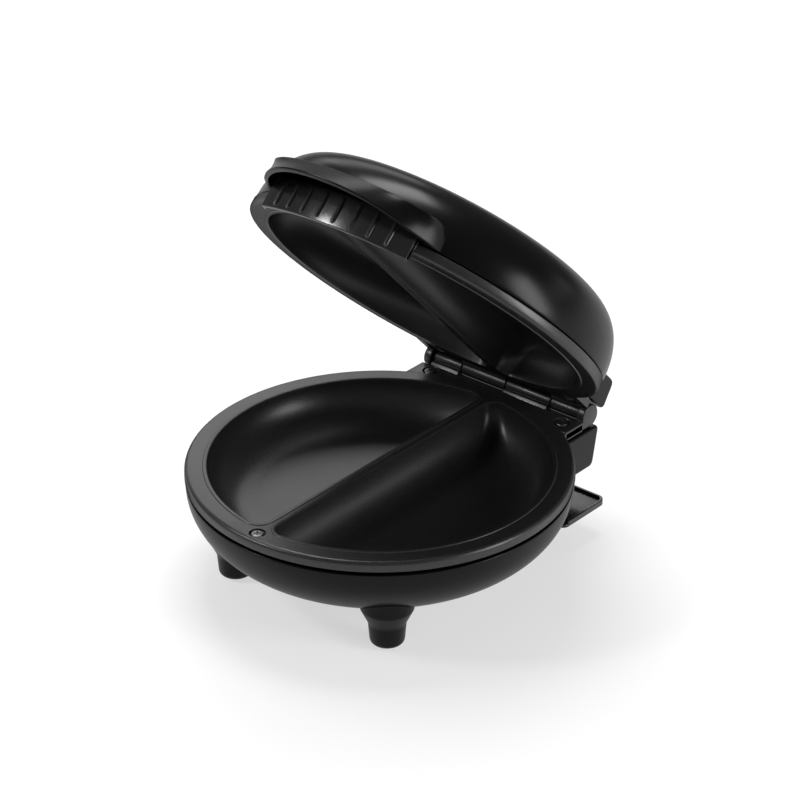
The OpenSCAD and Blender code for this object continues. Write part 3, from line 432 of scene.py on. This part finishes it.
def plateShape():
    shape, size, detail = bmesh.new(), plateSize, plateDetail
    edge, inner = size["edge"], plateRadius - size["cast"]
    slabZ = faceZ - size["slab"]
    profile = [(inner, slabZ), (inner, seamZ)]
    profile += [(plateRadius - inset, seamZ + rise) for inset, rise in quarter(size["lowerEdge"], 3)]
    profile += [(plateRadius - inset, faceZ - rise) for inset, rise in quarter(edge, 8)[::-1]]
    rows = addTurned(shape, profile, 256)
    topRings, underRings = [rows[-1]], [rows[0]]
    for side in (1, -1):
        wide, tall = size["beadWidth"], size["beadHeight"]
        bead = [(wide, 0), (wide - 0.12, 0.22), (wide - 0.4, tall), (0.75, tall), (0.35, tall - 0.1), (0.1, tall - 0.3),
                (0, -0.5)]
        levels = [(wellOutline(grow), faceZ + z) for grow, z in bead] + wellLevels(0)
        mirrored = [[(side * x, y, z) for x, y in outline] for outline, z in levels]
        topRings.append(addLoft(shape, mirrored, capLow=False)[0])
        levels = [(wellOutline(size["cast"]), slabZ)]
        levels += [level for level in wellLevels(size["cast"]) if level[1] < slabZ - 0.3]
        mirrored = [[(side * x, y, z) for x, y in outline] for outline, z in levels]
        underRings.append(addLoft(shape, mirrored, capLow=False)[0])
    recess = screwRecess(faceZ, detail["frontRecess"], 0.05, 0.12)
    topRings.append(addTurned(shape, recess, 64, (0, -plateRadius + detail["frontScrew"]))[0])
    fillBetween(shape, topRings)
    fillBetween(shape, underRings)
    # seats of the thermostat and fuse, and the bosses of the heater straps
    low, high, r = faceZ - size["depth"] + detail["padRise"], faceZ - detail["padTop"], detail["pad"]
    for y in detail["padY"]:
        addTurned(shape, [(0, low), (r, low), (r, high), (0, high)], 48, (0, y))
    low, high, r = panZ - detail["bossDrop"], panZ + 1, detail["boss"]
    for side in (1, -1):
        for x in detail["bossX"]:
            addTurned(shape, [(0, low), (r, low), (r, high), (0, high)], 32, (side * x, 0))
    addApron(shape)
    addKnuckles(shape)
    return shape


def apronOutline(inset):
    detail = plateDetail
    wide, narrow = detail["knuckleOut"] + 0.2 + detail["earThick"] - inset, detail["knuckleOut"] - inset
    shoulder, back = hinge[1] - detail["ear"] - 0.7 - inset, hinge[1] - detail["knuckle"] - 0.5 - inset
    arcRadius = plateRadius - 3
    front = [(wide * k / 24, math.sqrt(arcRadius ** 2 - (wide * k / 24) ** 2)) for k in range(-24, 25)]
    return front + [(wide, shoulder), (narrow, shoulder), (narrow, back), (-narrow, back), (-narrow, shoulder),
                    (-wide, shoulder)]


def addApron(shape):
    detail = plateDetail
    top, edge = seamZ + detail["apron"], 0.5
    levels = [(0, seamZ)] + [(inset, top - rise) for inset, rise in quarter(edge)[::-1]]
    rows = addLoft(shape, [[(x, y, z) for x, y in apronOutline(inset)] for inset, z in levels], capHigh=False)
    rings = [rows[-1]]
    for x in (detail["screwX"], -detail["screwX"]):
        recess = screwRecess(top, detail["rearRecess"], 0.15, 0.2)
        rings.append(addTurned(shape, recess, 64, (x, plateRadius - detail["rearScrew"]))[0])
    fillBetween(shape, rings)


def addKnuckles(shape):
    detail = plateDetail
    r, apronY = detail["knuckle"], hinge[1] - detail["knuckle"] - 0.5
    inner, outer, gap = detail["knuckleIn"], detail["knuckleOut"], detail["gap"]
    for low, high in ((-outer + gap, -inner - gap), (gap, inner - gap)):
        profile = [(0, low)] + [(r - inset, low + rise) for inset, rise in quarter(0.5)]
        profile += [(r - inset, high - rise) for inset, rise in quarter(0.5)[::-1]] + [(0, high)]
        addTurned(shape, profile, 64, (hinge[1], hinge[2]), place=acrossX)
        block = [(apronY - 4, hinge[2] - r + 0.5), (hinge[1], hinge[2] - r + 0.1), (hinge[1], hinge[2] + 0.3),
                 (apronY - 1.2, hinge[2] - 0.6)]
        addPrism(shape, lambda inset: rounded(block, [0.5, 0.3, 0.3, 0.9], inset), low, high, 0.4, acrossX)
    earLow = detail["knuckleOut"] + 0.2
    addPrism(shape, earOutline, earLow, earLow + detail["earThick"], 0.7, acrossX)


# side ear: a round end about the hinge with an arm that runs forward to the plate
def earOutline(inset):
    r, armFront = plateDetail["ear"] - inset, plateDetail["earFront"] + inset
    armLow, armHigh = seamZ + 0.1 + inset, hinge[2] - 1.2 - inset
    arm = rounded([(armFront, armHigh), (armFront, armLow), (armFront + 6, armLow), (armFront + 6, armHigh)],
                  [0.8, 0.8, 0, 0])[:18]
    # from the arm's lower line, round the far side, to its upper line
    first = -math.pi - math.asin((armLow - hinge[2]) / r)
    last = math.pi - math.asin((armHigh - hinge[2]) / r)
    angles = [first + (last - first) * k / 40 for k in range(41)]
    arc = [(hinge[1] + r * math.cos(a), hinge[2] + r * math.sin(a)) for a in angles]
    endY, endZ = arc[-1]
    fillet = [(endY - 0.9 * k / 4, armHigh + (endZ - armHigh) * (1 - k / 4)) for k in range(1, 5)]
    return arm + arc + fillet


makePiece("lowerPlateCasting", plateShape(), "base", "plate", "lower_plate")
makePiece("upperPlateCasting", plateShape(), "lid", "plate", "upper_plate", (openedLid @ turnedOver,))


# wall thickness of both housings, and the bowl of the base
shell = 2.4
bowl = {"top": 2.2, "room": 18.8, "step": 0.4, "turn": 29.6, "rim": 0.6, "side": 1.57, "fall": 0.9}
bowlTop, bowlBottom = seamZ - bowl["top"], panZ - bowl["room"]
bowlRadius = plateRadius - bowl["step"]
bowlFloor = bowlRadius - bowl["turn"]


def bowlPoint(t, inset):
    a = math.pi / 2 * t
    return (bowlFloor - inset + bowl["turn"] * math.cos(a) ** bowl["side"],
            bowlTop - (bowlTop - bowlBottom - inset) * math.sin(a) ** bowl["fall"])


lug = {"side": 60, "clear": 7.45, "back": 6.9, "lean": 0.21, "baseHeight": 24.4, "lidHeight": 17, "edge": 1.3,
       "inner": 2.6, "outer": 4.5, "front": 80}


# lug block between two levels: leaning back, rounded edges, and a front that follows the round housing it grows from
def addLug(shape, low, high, lowBack, highBack, lowRadius, highRadius, frontRadius):
    edge, levels = lug["edge"], []
    front = lug["front"]
    corners = [(front, low), (lowBack, low), (highBack, high), (front, high)]
    outline = rounded(corners, [0.1, lowRadius, highRadius, 0.1])
    for y, z in outline[9:27]:
        near = max(edge - min(z - low, high - z), 0)
        levels.append((z, y, edge - math.sqrt(max(edge ** 2 - near ** 2, 0))))
    ends = [(low + rise, inset) for inset, rise in quarter(edge)]
    ends += [(high - rise, inset) for inset, rise in quarter(edge)]
    for z, inset in ends:
        below, above = [v for v in levels if v[0] <= z + 1e-6], [v for v in levels if v[0] >= z - 1e-6]
        a, b = max(below), min(above)
        t = (z - a[0]) / (b[0] - a[0]) if b[0] > a[0] else 0
        levels.append((z, a[1] + (b[1] - a[1]) * t, inset))
    rings, last = [], None
    for z, back, inset in sorted(levels):
        if last is not None and z - last < 0.02:
            continue
        last = z
        wide = lug["side"] - inset
        front = [(wide * k / 20, math.sqrt(frontRadius ** 2 - (wide * k / 20) ** 2)) for k in range(-20, 21)]
        corners = rounded([(-wide, 60), (wide, 60), (wide, back), (-wide, back)], [0.1, 0.1, 2, 2])
        rings.append([(x, y, z) for x, y in front + corners[18:]])
    addLoft(shape, rings)


leg = {"inset": 27, "angle": 43, "radius": 10, "flare": 15, "bottom": 1, "pad": 6, "padTop": 2.5, "reach": 12,
       "gap": 0.1}
legCircle, legAngle = plateRadius - leg["inset"], math.radians(leg["angle"])
legX, legY = legCircle * math.sin(legAngle), legCircle * math.cos(legAngle)
legSpots = [(-legX, -legY), (-legX, legY), (legX, -legY), (legX, legY)]


def bowlUnderside(r):
    if r <= bowlFloor:
        return bowlBottom
    cosine = min((r - bowlFloor) / bowl["turn"], 1) ** (1 / bowl["side"])
    return bowlTop - (bowlTop - bowlBottom) * math.sqrt(1 - cosine ** 2) ** bowl["fall"]


# turned leg whose top follows the underside of the bowl
def legShape():
    shape = bmesh.new()
    low, high, radius, flare = leg["bottom"], bowlBottom + leg["reach"], leg["radius"], leg["flare"]
    corners = [(-5, low), (radius - 0.6, low), (radius + 0.6, bowlBottom - 7), (flare, bowlBottom + 2), (flare, high),
               (-5, high)]
    foot = rounded(corners, [0.1, 3.4, 9, 4, 0.1, 0.1], 0, 10)
    sides = [(r, z) for r, z in foot if r > 0]
    crown = [(flare * k / 8, high) for k in range(7, 0, -1)]
    for spot in legSpots:
        rows = addTurned(shape, [(0, low)] + sides + crown + [(0, high)], 96, spot)
        for vertex in (v for row in rows for v in row):
            vertex.co.z = min(vertex.co.z, bowlUnderside(math.hypot(vertex.co.x, vertex.co.y)) - leg["gap"])
    return shape


# round cover in the floor of the bowl
cover = {"radius": 74, "rim": 1.4, "gap": 0.15, "ledge": 4}


# bowl with its open floor and the ledge for the cover, and the rear block
def baseShape():
    shape = bmesh.new()
    outer = [bowlPoint(k / 40, 0) for k in range(1, 41)]
    inner = [bowlPoint(k / 20, shell) for k in range(21)]
    rim = [(bowlRadius - inset, bowlTop - rise) for inset, rise in quarter(bowl["rim"])[::-1]]
    ledge, r = bowlBottom + cover["rim"] + cover["gap"], cover["radius"]
    profile = [(r, bowlBottom + 0.2), (r + 0.2, bowlBottom)] + outer[::-1] + rim
    profile += [(bowlRadius - shell, bowlTop)] + inner[1:]
    profile += [(r - cover["ledge"], bowlBottom + shell), (r - cover["ledge"], ledge), (r, ledge)]
    addTurned(shape, profile, 256, loop=True)
    lugTop = hinge[2] - lug["clear"]
    back, height = hinge[1] + lug["back"], lug["baseHeight"]
    addLug(shape, lugTop - height, lugTop, back - lug["lean"] * height, back, lug["outer"], lug["inner"],
           plateRadius - 9.7)
    return shape


def coverShape():
    shape, r = bmesh.new(), cover["radius"] - cover["gap"]
    step, inner = bowlBottom + cover["rim"], r - cover["ledge"]
    profile = [(0, bowlBottom)] + [(r - inset, bowlBottom + rise) for inset, rise in quarter(0.3)]
    profile += [(r, step), (inner, step), (inner, bowlBottom + shell), (0, bowlBottom + shell)]
    addTurned(shape, profile, 256)
    return shape


makePiece("baseMoulding", baseShape(), "base", "housing", "base_housing")
makePiece("turnedLegs", legShape(), "base", "housing", "legs")
makePiece("bottomCoverDisc", coverShape(), "base", "housing", "bottom_cover")


# lid: dome with a flat top and steep sides
dome = {"seam": 0.8, "step": 0.6, "room": 20.2, "rim": 0.7, "side": 0.26, "rise": 0.96, "crowd": 1.6}
domeZ, domeRadius = upperSeamZ + dome["seam"], plateRadius - dome["step"]
domeHeight = 2 * hinge[2] - panZ + dome["room"] - domeZ


def domePoint(t, inset):
    a = math.pi / 2 * t
    return ((domeRadius - inset) * math.cos(a) ** dome["side"],
            domeZ + (domeHeight - inset) * math.sin(a) ** dome["rise"])


hood = {"halfWidth": 55.4, "flare": 4.6, "reach": 29.2, "browReach": 12.4, "height": 14, "wall": 2.3, "root": 0.65,
        "lip": 0.8, "bend": 0.9, "rise": 0.14, "riseFrom": 4, "lipBack": 35, "browBack": 9.4, "taper": 1.3,
        "browTaper": 1.2}


# the hood at one level: straight sides, a round front that rises forwards
def hoodPlan(halfWidth, back, front, z):
    root, bend = domeRadius * hood["root"], hood["bend"]
    points = [(halfWidth, -root, z), (-halfWidth, -root, z)]
    for k in range(97):
        a = math.pi - math.pi * k / 96
        c, y = math.cos(a), back + (front - back) * max(math.sin(a), 0) ** bend
        lift = hood["rise"] * max(y - domeRadius - hood["riseFrom"], 0)
        points.append((halfWidth * math.copysign(abs(c) ** bend, c), -y, z + lift))
    return points


def mixed(a, b, t): return [p + (q - p) * t for p, q in zip(a, b)]


# outside of the hood from the lip over the brow, or its inside at the wall's thickness
def hoodRings(inset):
    w, lipBack, browBack = hood["halfWidth"] - inset, domeRadius - hood["lipBack"], domeRadius - hood["browBack"]
    lip = domeRadius + hood["reach"] - inset * hood["taper"]
    brow = domeRadius + hood["browReach"] - inset * hood["browTaper"]
    top = domeZ + hood["height"] - inset
    flared = w + hood["flare"]
    foot = [flared, lipBack, lip, domeZ + 1]
    corner = [w + 0.7, browBack + 0.6, brow + 1.6, top - 0.3]
    ledge = [w - 6, browBack - 4, brow - 14, top + 1.2]
    rings = [mixed(foot, corner, k / 10) for k in range(1, 10)]
    start, end = mixed(foot, corner, 0.93), mixed(corner, ledge, 0.22)
    rings += [mixed(mixed(start, corner, k / 8), mixed(corner, end, k / 8), k / 8) for k in range(9)]
    rings += [mixed(end, ledge, k / 3) for k in (1, 2, 3)]
    rings.append([w - 14, browBack - 8, brow - 24, top + 2])
    if inset:
        low = [[flared, lipBack, lip, domeZ + z] for z in (0, 1)]
    else:
        low = [[flared - i * 0.8, lipBack - i, lip - i, domeZ + rise] for i, rise in quarter(hood["lip"])]
        low.append(foot)
    return [hoodPlan(*ring) for ring in low + rings]


def lidShape():
    shape = bmesh.new()
    outer = [domePoint(1 - (1 - k / 60) ** dome["crowd"], 0) for k in range(1, 60)]
    inner = [domePoint(1 - (1 - k / 24) ** dome["crowd"], shell) for k in range(1, 24)]
    rim = [(domeRadius - inset, domeZ + rise) for inset, rise in quarter(dome["rim"])]
    profile = [(0, domeZ + domeHeight - shell)] + inner[::-1] + [(domeRadius - shell, domeZ)]
    addTurned(shape, profile + rim + outer + [(0, domeZ + domeHeight)], 288)
    addLoft(shape, hoodRings(hood["wall"])[::-1] + hoodRings(0))
    lugBottom = hinge[2] + lug["clear"]
    back, height = hinge[1] + lug["back"], lug["lidHeight"]
    addLug(shape, lugBottom, lugBottom + height, back, back - lug["lean"] * height, lug["inner"], lug["outer"],
           plateRadius - 5)
    return shape


makePiece("lidMoulding", lidShape(), "lid", "housing", "lid_housing", (openedLid,))


# ribbed wall of the handle
grip = {"out": 6.2, "thick": 2.4, "halfWidth": 49.8, "drop": 12.4, "rise": 6, "ribs": 8, "pitch": 5.6, "rib": 1.45,
        "gap": 0.3, "cheek": 2.2, "shelf": 2}


# outline of a band between two radii, symmetrical about the front
def arcBand(inner, outer, halfWidth, inset):
    reachOut, reachIn = math.asin((halfWidth - inset) / outer), math.asin((halfWidth - inset) / inner)
    farRadius, nearRadius = outer - inset, inner + inset
    far, near = [reachOut * k / 48 for k in range(-48, 49)], [reachIn * k / 48 for k in range(48, -49, -1)]
    return ([(farRadius * math.sin(a), -farRadius * math.cos(a)) for a in far]
            + [(nearRadius * math.sin(a), -nearRadius * math.cos(a)) for a in near])


def gripShape():
    shape = bmesh.new()
    outer, low, high = domeRadius + grip["out"], domeZ - grip["drop"], domeZ + grip["rise"]
    inner, half = outer - grip["thick"], grip["halfWidth"]
    addPrism(shape, lambda inset: arcBand(inner, outer, half, inset), low, high, 0.7)
    addPrism(shape, lambda inset: arcBand(domeRadius + grip["gap"], outer - 1, half, inset), high - grip["shelf"],
             high - 0.02, 0.3)
    for side in (-1, 1):
        corners = ((half - grip["cheek"], -101.2), (half, -101.2), (half, -97.7), (half - grip["cheek"], -98.7))
        cheek = [(side * x, y) for x, y in corners]
        addPrism(shape, lambda inset: rounded(cheek[::side], [0.3] * 4, inset), low + 0.05, high - 0.05, 0.2)
    for k in range(grip["ribs"]):
        a = math.radians(grip["pitch"] * (k - (grip["ribs"] - 1) / 2))
        r, lowEnd, highEnd = grip["rib"], low + 1.4, high - 1.4
        turns = [math.pi / 2 * i / 8 for i in range(9)]
        profile = [(r * math.sin(t), lowEnd + r * (1 - math.cos(t))) for t in turns]
        profile += [(r * math.cos(t), highEnd - r + r * math.sin(t)) for t in turns]
        addTurned(shape, profile, 24, ((outer - 0.1) * math.sin(a), -(outer - 0.1) * math.cos(a)))
    return shape


makePiece("gripWall", gripShape(), "lid", "trim", "handle_grip", (openedLid,))


# cord wrap bracket: a neck under the bowl, a wide flange and its lip
wrap = {"side": 12, "back": 0.9, "depth": 39, "thick": 2, "drop": 3.3, "lip": 1.6, "lipThick": 1.8, "neck": 36,
        "screw": 16, "screwX": 26, "boss": 5}


def bracketShape():
    shape = bmesh.new()
    half, back, top = lug["side"] + wrap["side"], hinge[1] - wrap["back"], bowlBottom - wrap["drop"]
    front, neckFront = back - wrap["depth"], bowlFloor - wrap["screw"] - 8
    points = [(-wrap["neck"], neckFront), (wrap["neck"], neckFront), (wrap["neck"], front), (half, front), (half, back),
              (-half, back), (-half, front), (-wrap["neck"], front)]
    addPrism(shape, lambda inset: rounded(points, [4, 4, 3, 4, 5, 5, 4, 3], inset), top - wrap["thick"], top, 0.5)
    lipT = wrap["lipThick"]
    lipPoints = [(half, front + 4), (half, back), (-half, back), (-half, front + 4), (-half + lipT, front + 4),
                 (-half + lipT, back - lipT), (half - lipT, back - lipT), (half - lipT, front + 4)]
    radii = [0.9, 5, 5, 0.9, 0.8, 3.2, 3.2, 0.8]
    addPrism(shape, lambda inset: rounded(lipPoints, radii, inset), top - 1, top + wrap["lip"], 0.45)
    boss, bossTop = wrap["boss"], bowlBottom - 0.1
    for x in (-wrap["screwX"], wrap["screwX"]):
        profile = [(0, top - 1), (boss, top - 1), (boss, bossTop - 0.3), (boss - 0.3, bossTop), (0, bossTop)]
        addTurned(shape, profile, 48, (x, bowlFloor - wrap["screw"]))
    return shape


makePiece("cordWrapBracket", bracketShape(), "base", "trim", "cord_wrap_bracket")


# recessed screws with a cross in the head
screw = {"shank": 1.7, "head": 3.7, "height": 1.7, "dome": 1.1, "cross": 2.2, "slot": 0.45, "depth": 0.85}


def crossOutline(reach, half):
    return [(reach, -half), (reach, half), (half, half), (half, reach), (-half, reach), (-half, half), (-reach, half),
            (-reach, -half), (-half, -half), (-half, -reach), (half, -reach), (half, -half)]


def addScrew(shape, x, y, z, length, turn, size=screw):
    head, height, shank, dome = size["head"], size["height"], size["shank"], size["dome"]
    profile = [(0, z - length), (shank - 0.3, z - length), (shank, z - length + 0.3), (shank, z), (head - 0.15, z),
               (head, z + 0.15)]
    turns = [math.pi / 2 * k / 6 for k in range(7)]
    profile += [(head - dome * (1 - math.cos(t)), z + height - dome + dome * math.sin(t)) for t in turns]
    top = addTurned(shape, profile, 48, (x, y))[-1]
    c, s = math.cos(turn), math.sin(turn)
    turned = [(x + u * c - v * s, y + u * s + v * c) for u, v in crossOutline(size["cross"], size["slot"])]
    floor = [(x + (u - x) * 0.82, y + (v - y) * 0.82) for u, v in turned]
    rim = ringAt(shape, turned, z + height)
    deep = ringAt(shape, floor, z + height - size["depth"])
    fillBetween(shape, [top, rim])
    for i in range(12):
        shape.faces.new((rim[i], rim[(i + 1) % 12], deep[(i + 1) % 12], deep[i]))
    shape.faces.new(deep)


def plateScrewShape():
    shape, detail = bmesh.new(), plateDetail
    frontSeat, rearSeat = faceZ - detail["frontRecess"], seamZ + detail["apron"] - detail["rearRecess"]
    length = rearSeat - (seamZ - 0.8) + 6
    addScrew(shape, 0, -plateRadius + detail["frontScrew"], frontSeat, length, 0.7)
    addScrew(shape, detail["screwX"], plateRadius - detail["rearScrew"], rearSeat, length, 0.25)
    addScrew(shape, -detail["screwX"], plateRadius - detail["rearScrew"], rearSeat, length, 1.1)
    return shape


makePiece("lowerPlateScrews", plateScrewShape(), "base", "plate_screw", "lower_plate_screws")
makePiece("upperPlateScrews", plateScrewShape(), "lid", "plate_screw", "upper_plate_screws", (openedLid @ turnedOver,))


# screws of the bracket, driven from below
bracketScrew = {"shank": 1.3, "head": 2.6, "height": 1.5, "dome": 1.1, "cross": 1.6, "slot": 0.35, "depth": 0.7,
                "length": 8.9}


def bracketScrewShape():
    shape, seat = bmesh.new(), bowlBottom - wrap["drop"] - wrap["thick"]
    for x, turn in ((-wrap["screwX"], 0.5), (wrap["screwX"], 1.2)):
        addScrew(shape, x, bowlFloor - wrap["screw"], seat, bracketScrew["length"], turn, bracketScrew)
    headDown = Matrix.Translation((0, 0, 2 * seat)) @ Matrix.Rotation(math.pi, 4, "Y")
    bmesh.ops.transform(shape, verts=shape.verts, matrix=headDown)
    return shape


makePiece("bracketScrewPair", bracketScrewShape(), "base", "screw", "bracket_screws")


# rounded flange of the cord bush and its open bore
bush = {"bore": 3.6, "neck": 5.2, "flange": 7.2, "thick": 3}


def bushShape():
    shape = bmesh.new()
    height = lug["baseHeight"] / 2
    y, z = hinge[1] + lug["back"] - lug["lean"] * (height - 3), hinge[2] - lug["clear"] - height
    profile = [(bush["bore"], y - 5), (bush["neck"], y - 5), (bush["neck"], y + 0.9)]
    profile += [(bush["flange"] - inset, y + 0.9 + rise) for inset, rise in quarter(0.4)]
    profile += [(bush["flange"] - inset, y + bush["thick"] - rise) for inset, rise in quarter(0.9)[::-1]]
    profile += [(bush["bore"] + inset, y + bush["thick"] - rise) for inset, rise in quarter(0.6)]
    addTurned(shape, profile, 64, (0, z), True, lambda u, v, w: (u, w, v))
    return shape


makePiece("cordBushRing", bushShape(), "base", "rubber", "cord_bush")


# hinge pin with a domed head
pin = {"radius": 2, "head": 3.6, "headThick": 1.2}


def pinShape():
    shape = bmesh.new()
    earOut = plateDetail["knuckleOut"] + 0.2 + plateDetail["earThick"]
    low, high = -earOut - 0.3, earOut - 1.4
    end, r = low - pin["headThick"], pin["radius"]
    profile = [(0, end)] + [(pin["head"] - inset, end + rise) for inset, rise in quarter(0.7)]
    profile += [(pin["head"], low), (r, low), (r, high - 0.4), (r - 0.4, high), (0, high)]
    addTurned(shape, profile, 48, (hinge[1], hinge[2]), place=acrossX)
    return shape


makePiece("hingePinTurned", pinShape(), "base", "pin", "hinge_pin")


# rubber pads under the legs
def padShape():
    shape = bmesh.new()
    for spot in legSpots:
        profile = [(0, 0)] + [(leg["pad"] - inset, rise) for inset, rise in quarter(0.8)]
        addTurned(shape, profile + [(leg["pad"], leg["padTop"]), (0, leg["padTop"])], 64, spot)
    return shape


makePiece("footPadSet", padShape(), "base", "rubber", "foot_pads")


# stage: pale floor, even dim room, soft lamps; the floor shows white to the camera and to mirrors
stage = {"floorSize": 16.0, "floorColour": (0.93, 0.93, 0.93), "floorWhite": 0.6, "floorDrop": 0.0003, "ambient": 0.2}
floorMesh = bpy.data.meshes.new("floor")
half = stage["floorSize"] / 2
floorMesh.from_pydata([(-half, -half, 0), (half, -half, 0), (half, half, 0), (-half, half, 0)], [], [(0, 1, 2, 3)])
floor = bpy.data.objects.new("floor", floorMesh)
scene.collection.objects.link(floor)
floor.location.z = -stage["floorDrop"]
floorShader = Shader(bpy.data.materials.new("paleFloor"))
floorNoise = noiseFor(floorShader, floorShader.add("ShaderNodeTexCoord")[3], 3, 2)
floorColour = blended(floorShader, floorNoise, stage["floorColour"], [c + 0.015 for c in stage["floorColour"]])
lit = floorShader.add("ShaderNodeBsdfPrincipled", {}, {"Base Color": floorColour, "Roughness": 0.75})[0]
white = floorShader.add("ShaderNodeEmission", {}, {"Color": (1, 1, 1, 1), "Strength": 1.0})[0]
rays = floorShader.add("ShaderNodeLightPath")
whiteShare = (rays[0] + rays[3] + rays[6]).clamped() * stage["floorWhite"]
floorSurface = floorShader.add("ShaderNodeMixShader", {}, {0: whiteShare, 1: lit, 2: white})[0]
floorMesh.materials.append(floorShader.finish(floorSurface))

scene.world = bpy.data.worlds.new("paleRoom")
room = Shader(scene.world, "ShaderNodeOutputWorld")
room.finish(room.add("ShaderNodeBackground", {}, {"Color": (1, 1, 1, 1), "Strength": stage["ambient"]})[0])


# place, aim, width and height, watts
lamps = {
    "topSoftbox": ((-0.45, 0.45, 1.65), (0, 0, 0.1), (0.9, 0.65), 25),
    "frontLeftSoftbox": ((-0.9, -1.0, 1.15), (0, -0.05, 0.2), (0.3, 0.3), 9),
    "rightSoftbox": ((1.15, 0.3, 0.42), (0, 0, 0.12), (0.35, 0.6), 7),
    "backSoftbox": ((-1.15, 1.3, 0.95), (0, 0, 0.1), (0.95, 0.6), 3.6),
    "backLeftSoftbox": ((-1.6, 0.7, 0.75), (0, 0, 0.2), (0.9, 0.3), 1.5),
    "backRightSoftbox": ((1.1, 1.3, 0.45), (0, 0, 0.15), (1.0, 0.3), 0.8)}
for name, (spot, target, size, watts) in lamps.items():
    lamp = bpy.data.lights.new(name, "AREA")
    lamp.shape = "RECTANGLE"
    lamp.size, lamp.size_y = size
    lamp.energy = watts
    holder = bpy.data.objects.new(name, lamp)
    scene.collection.objects.link(holder)
    holder.location = spot
    holder.rotation_mode = "QUATERNION"
    holder.rotation_quaternion = (Vector(target) - Vector(spot)).to_track_quat("-Z", "Y")
print("stage lit")
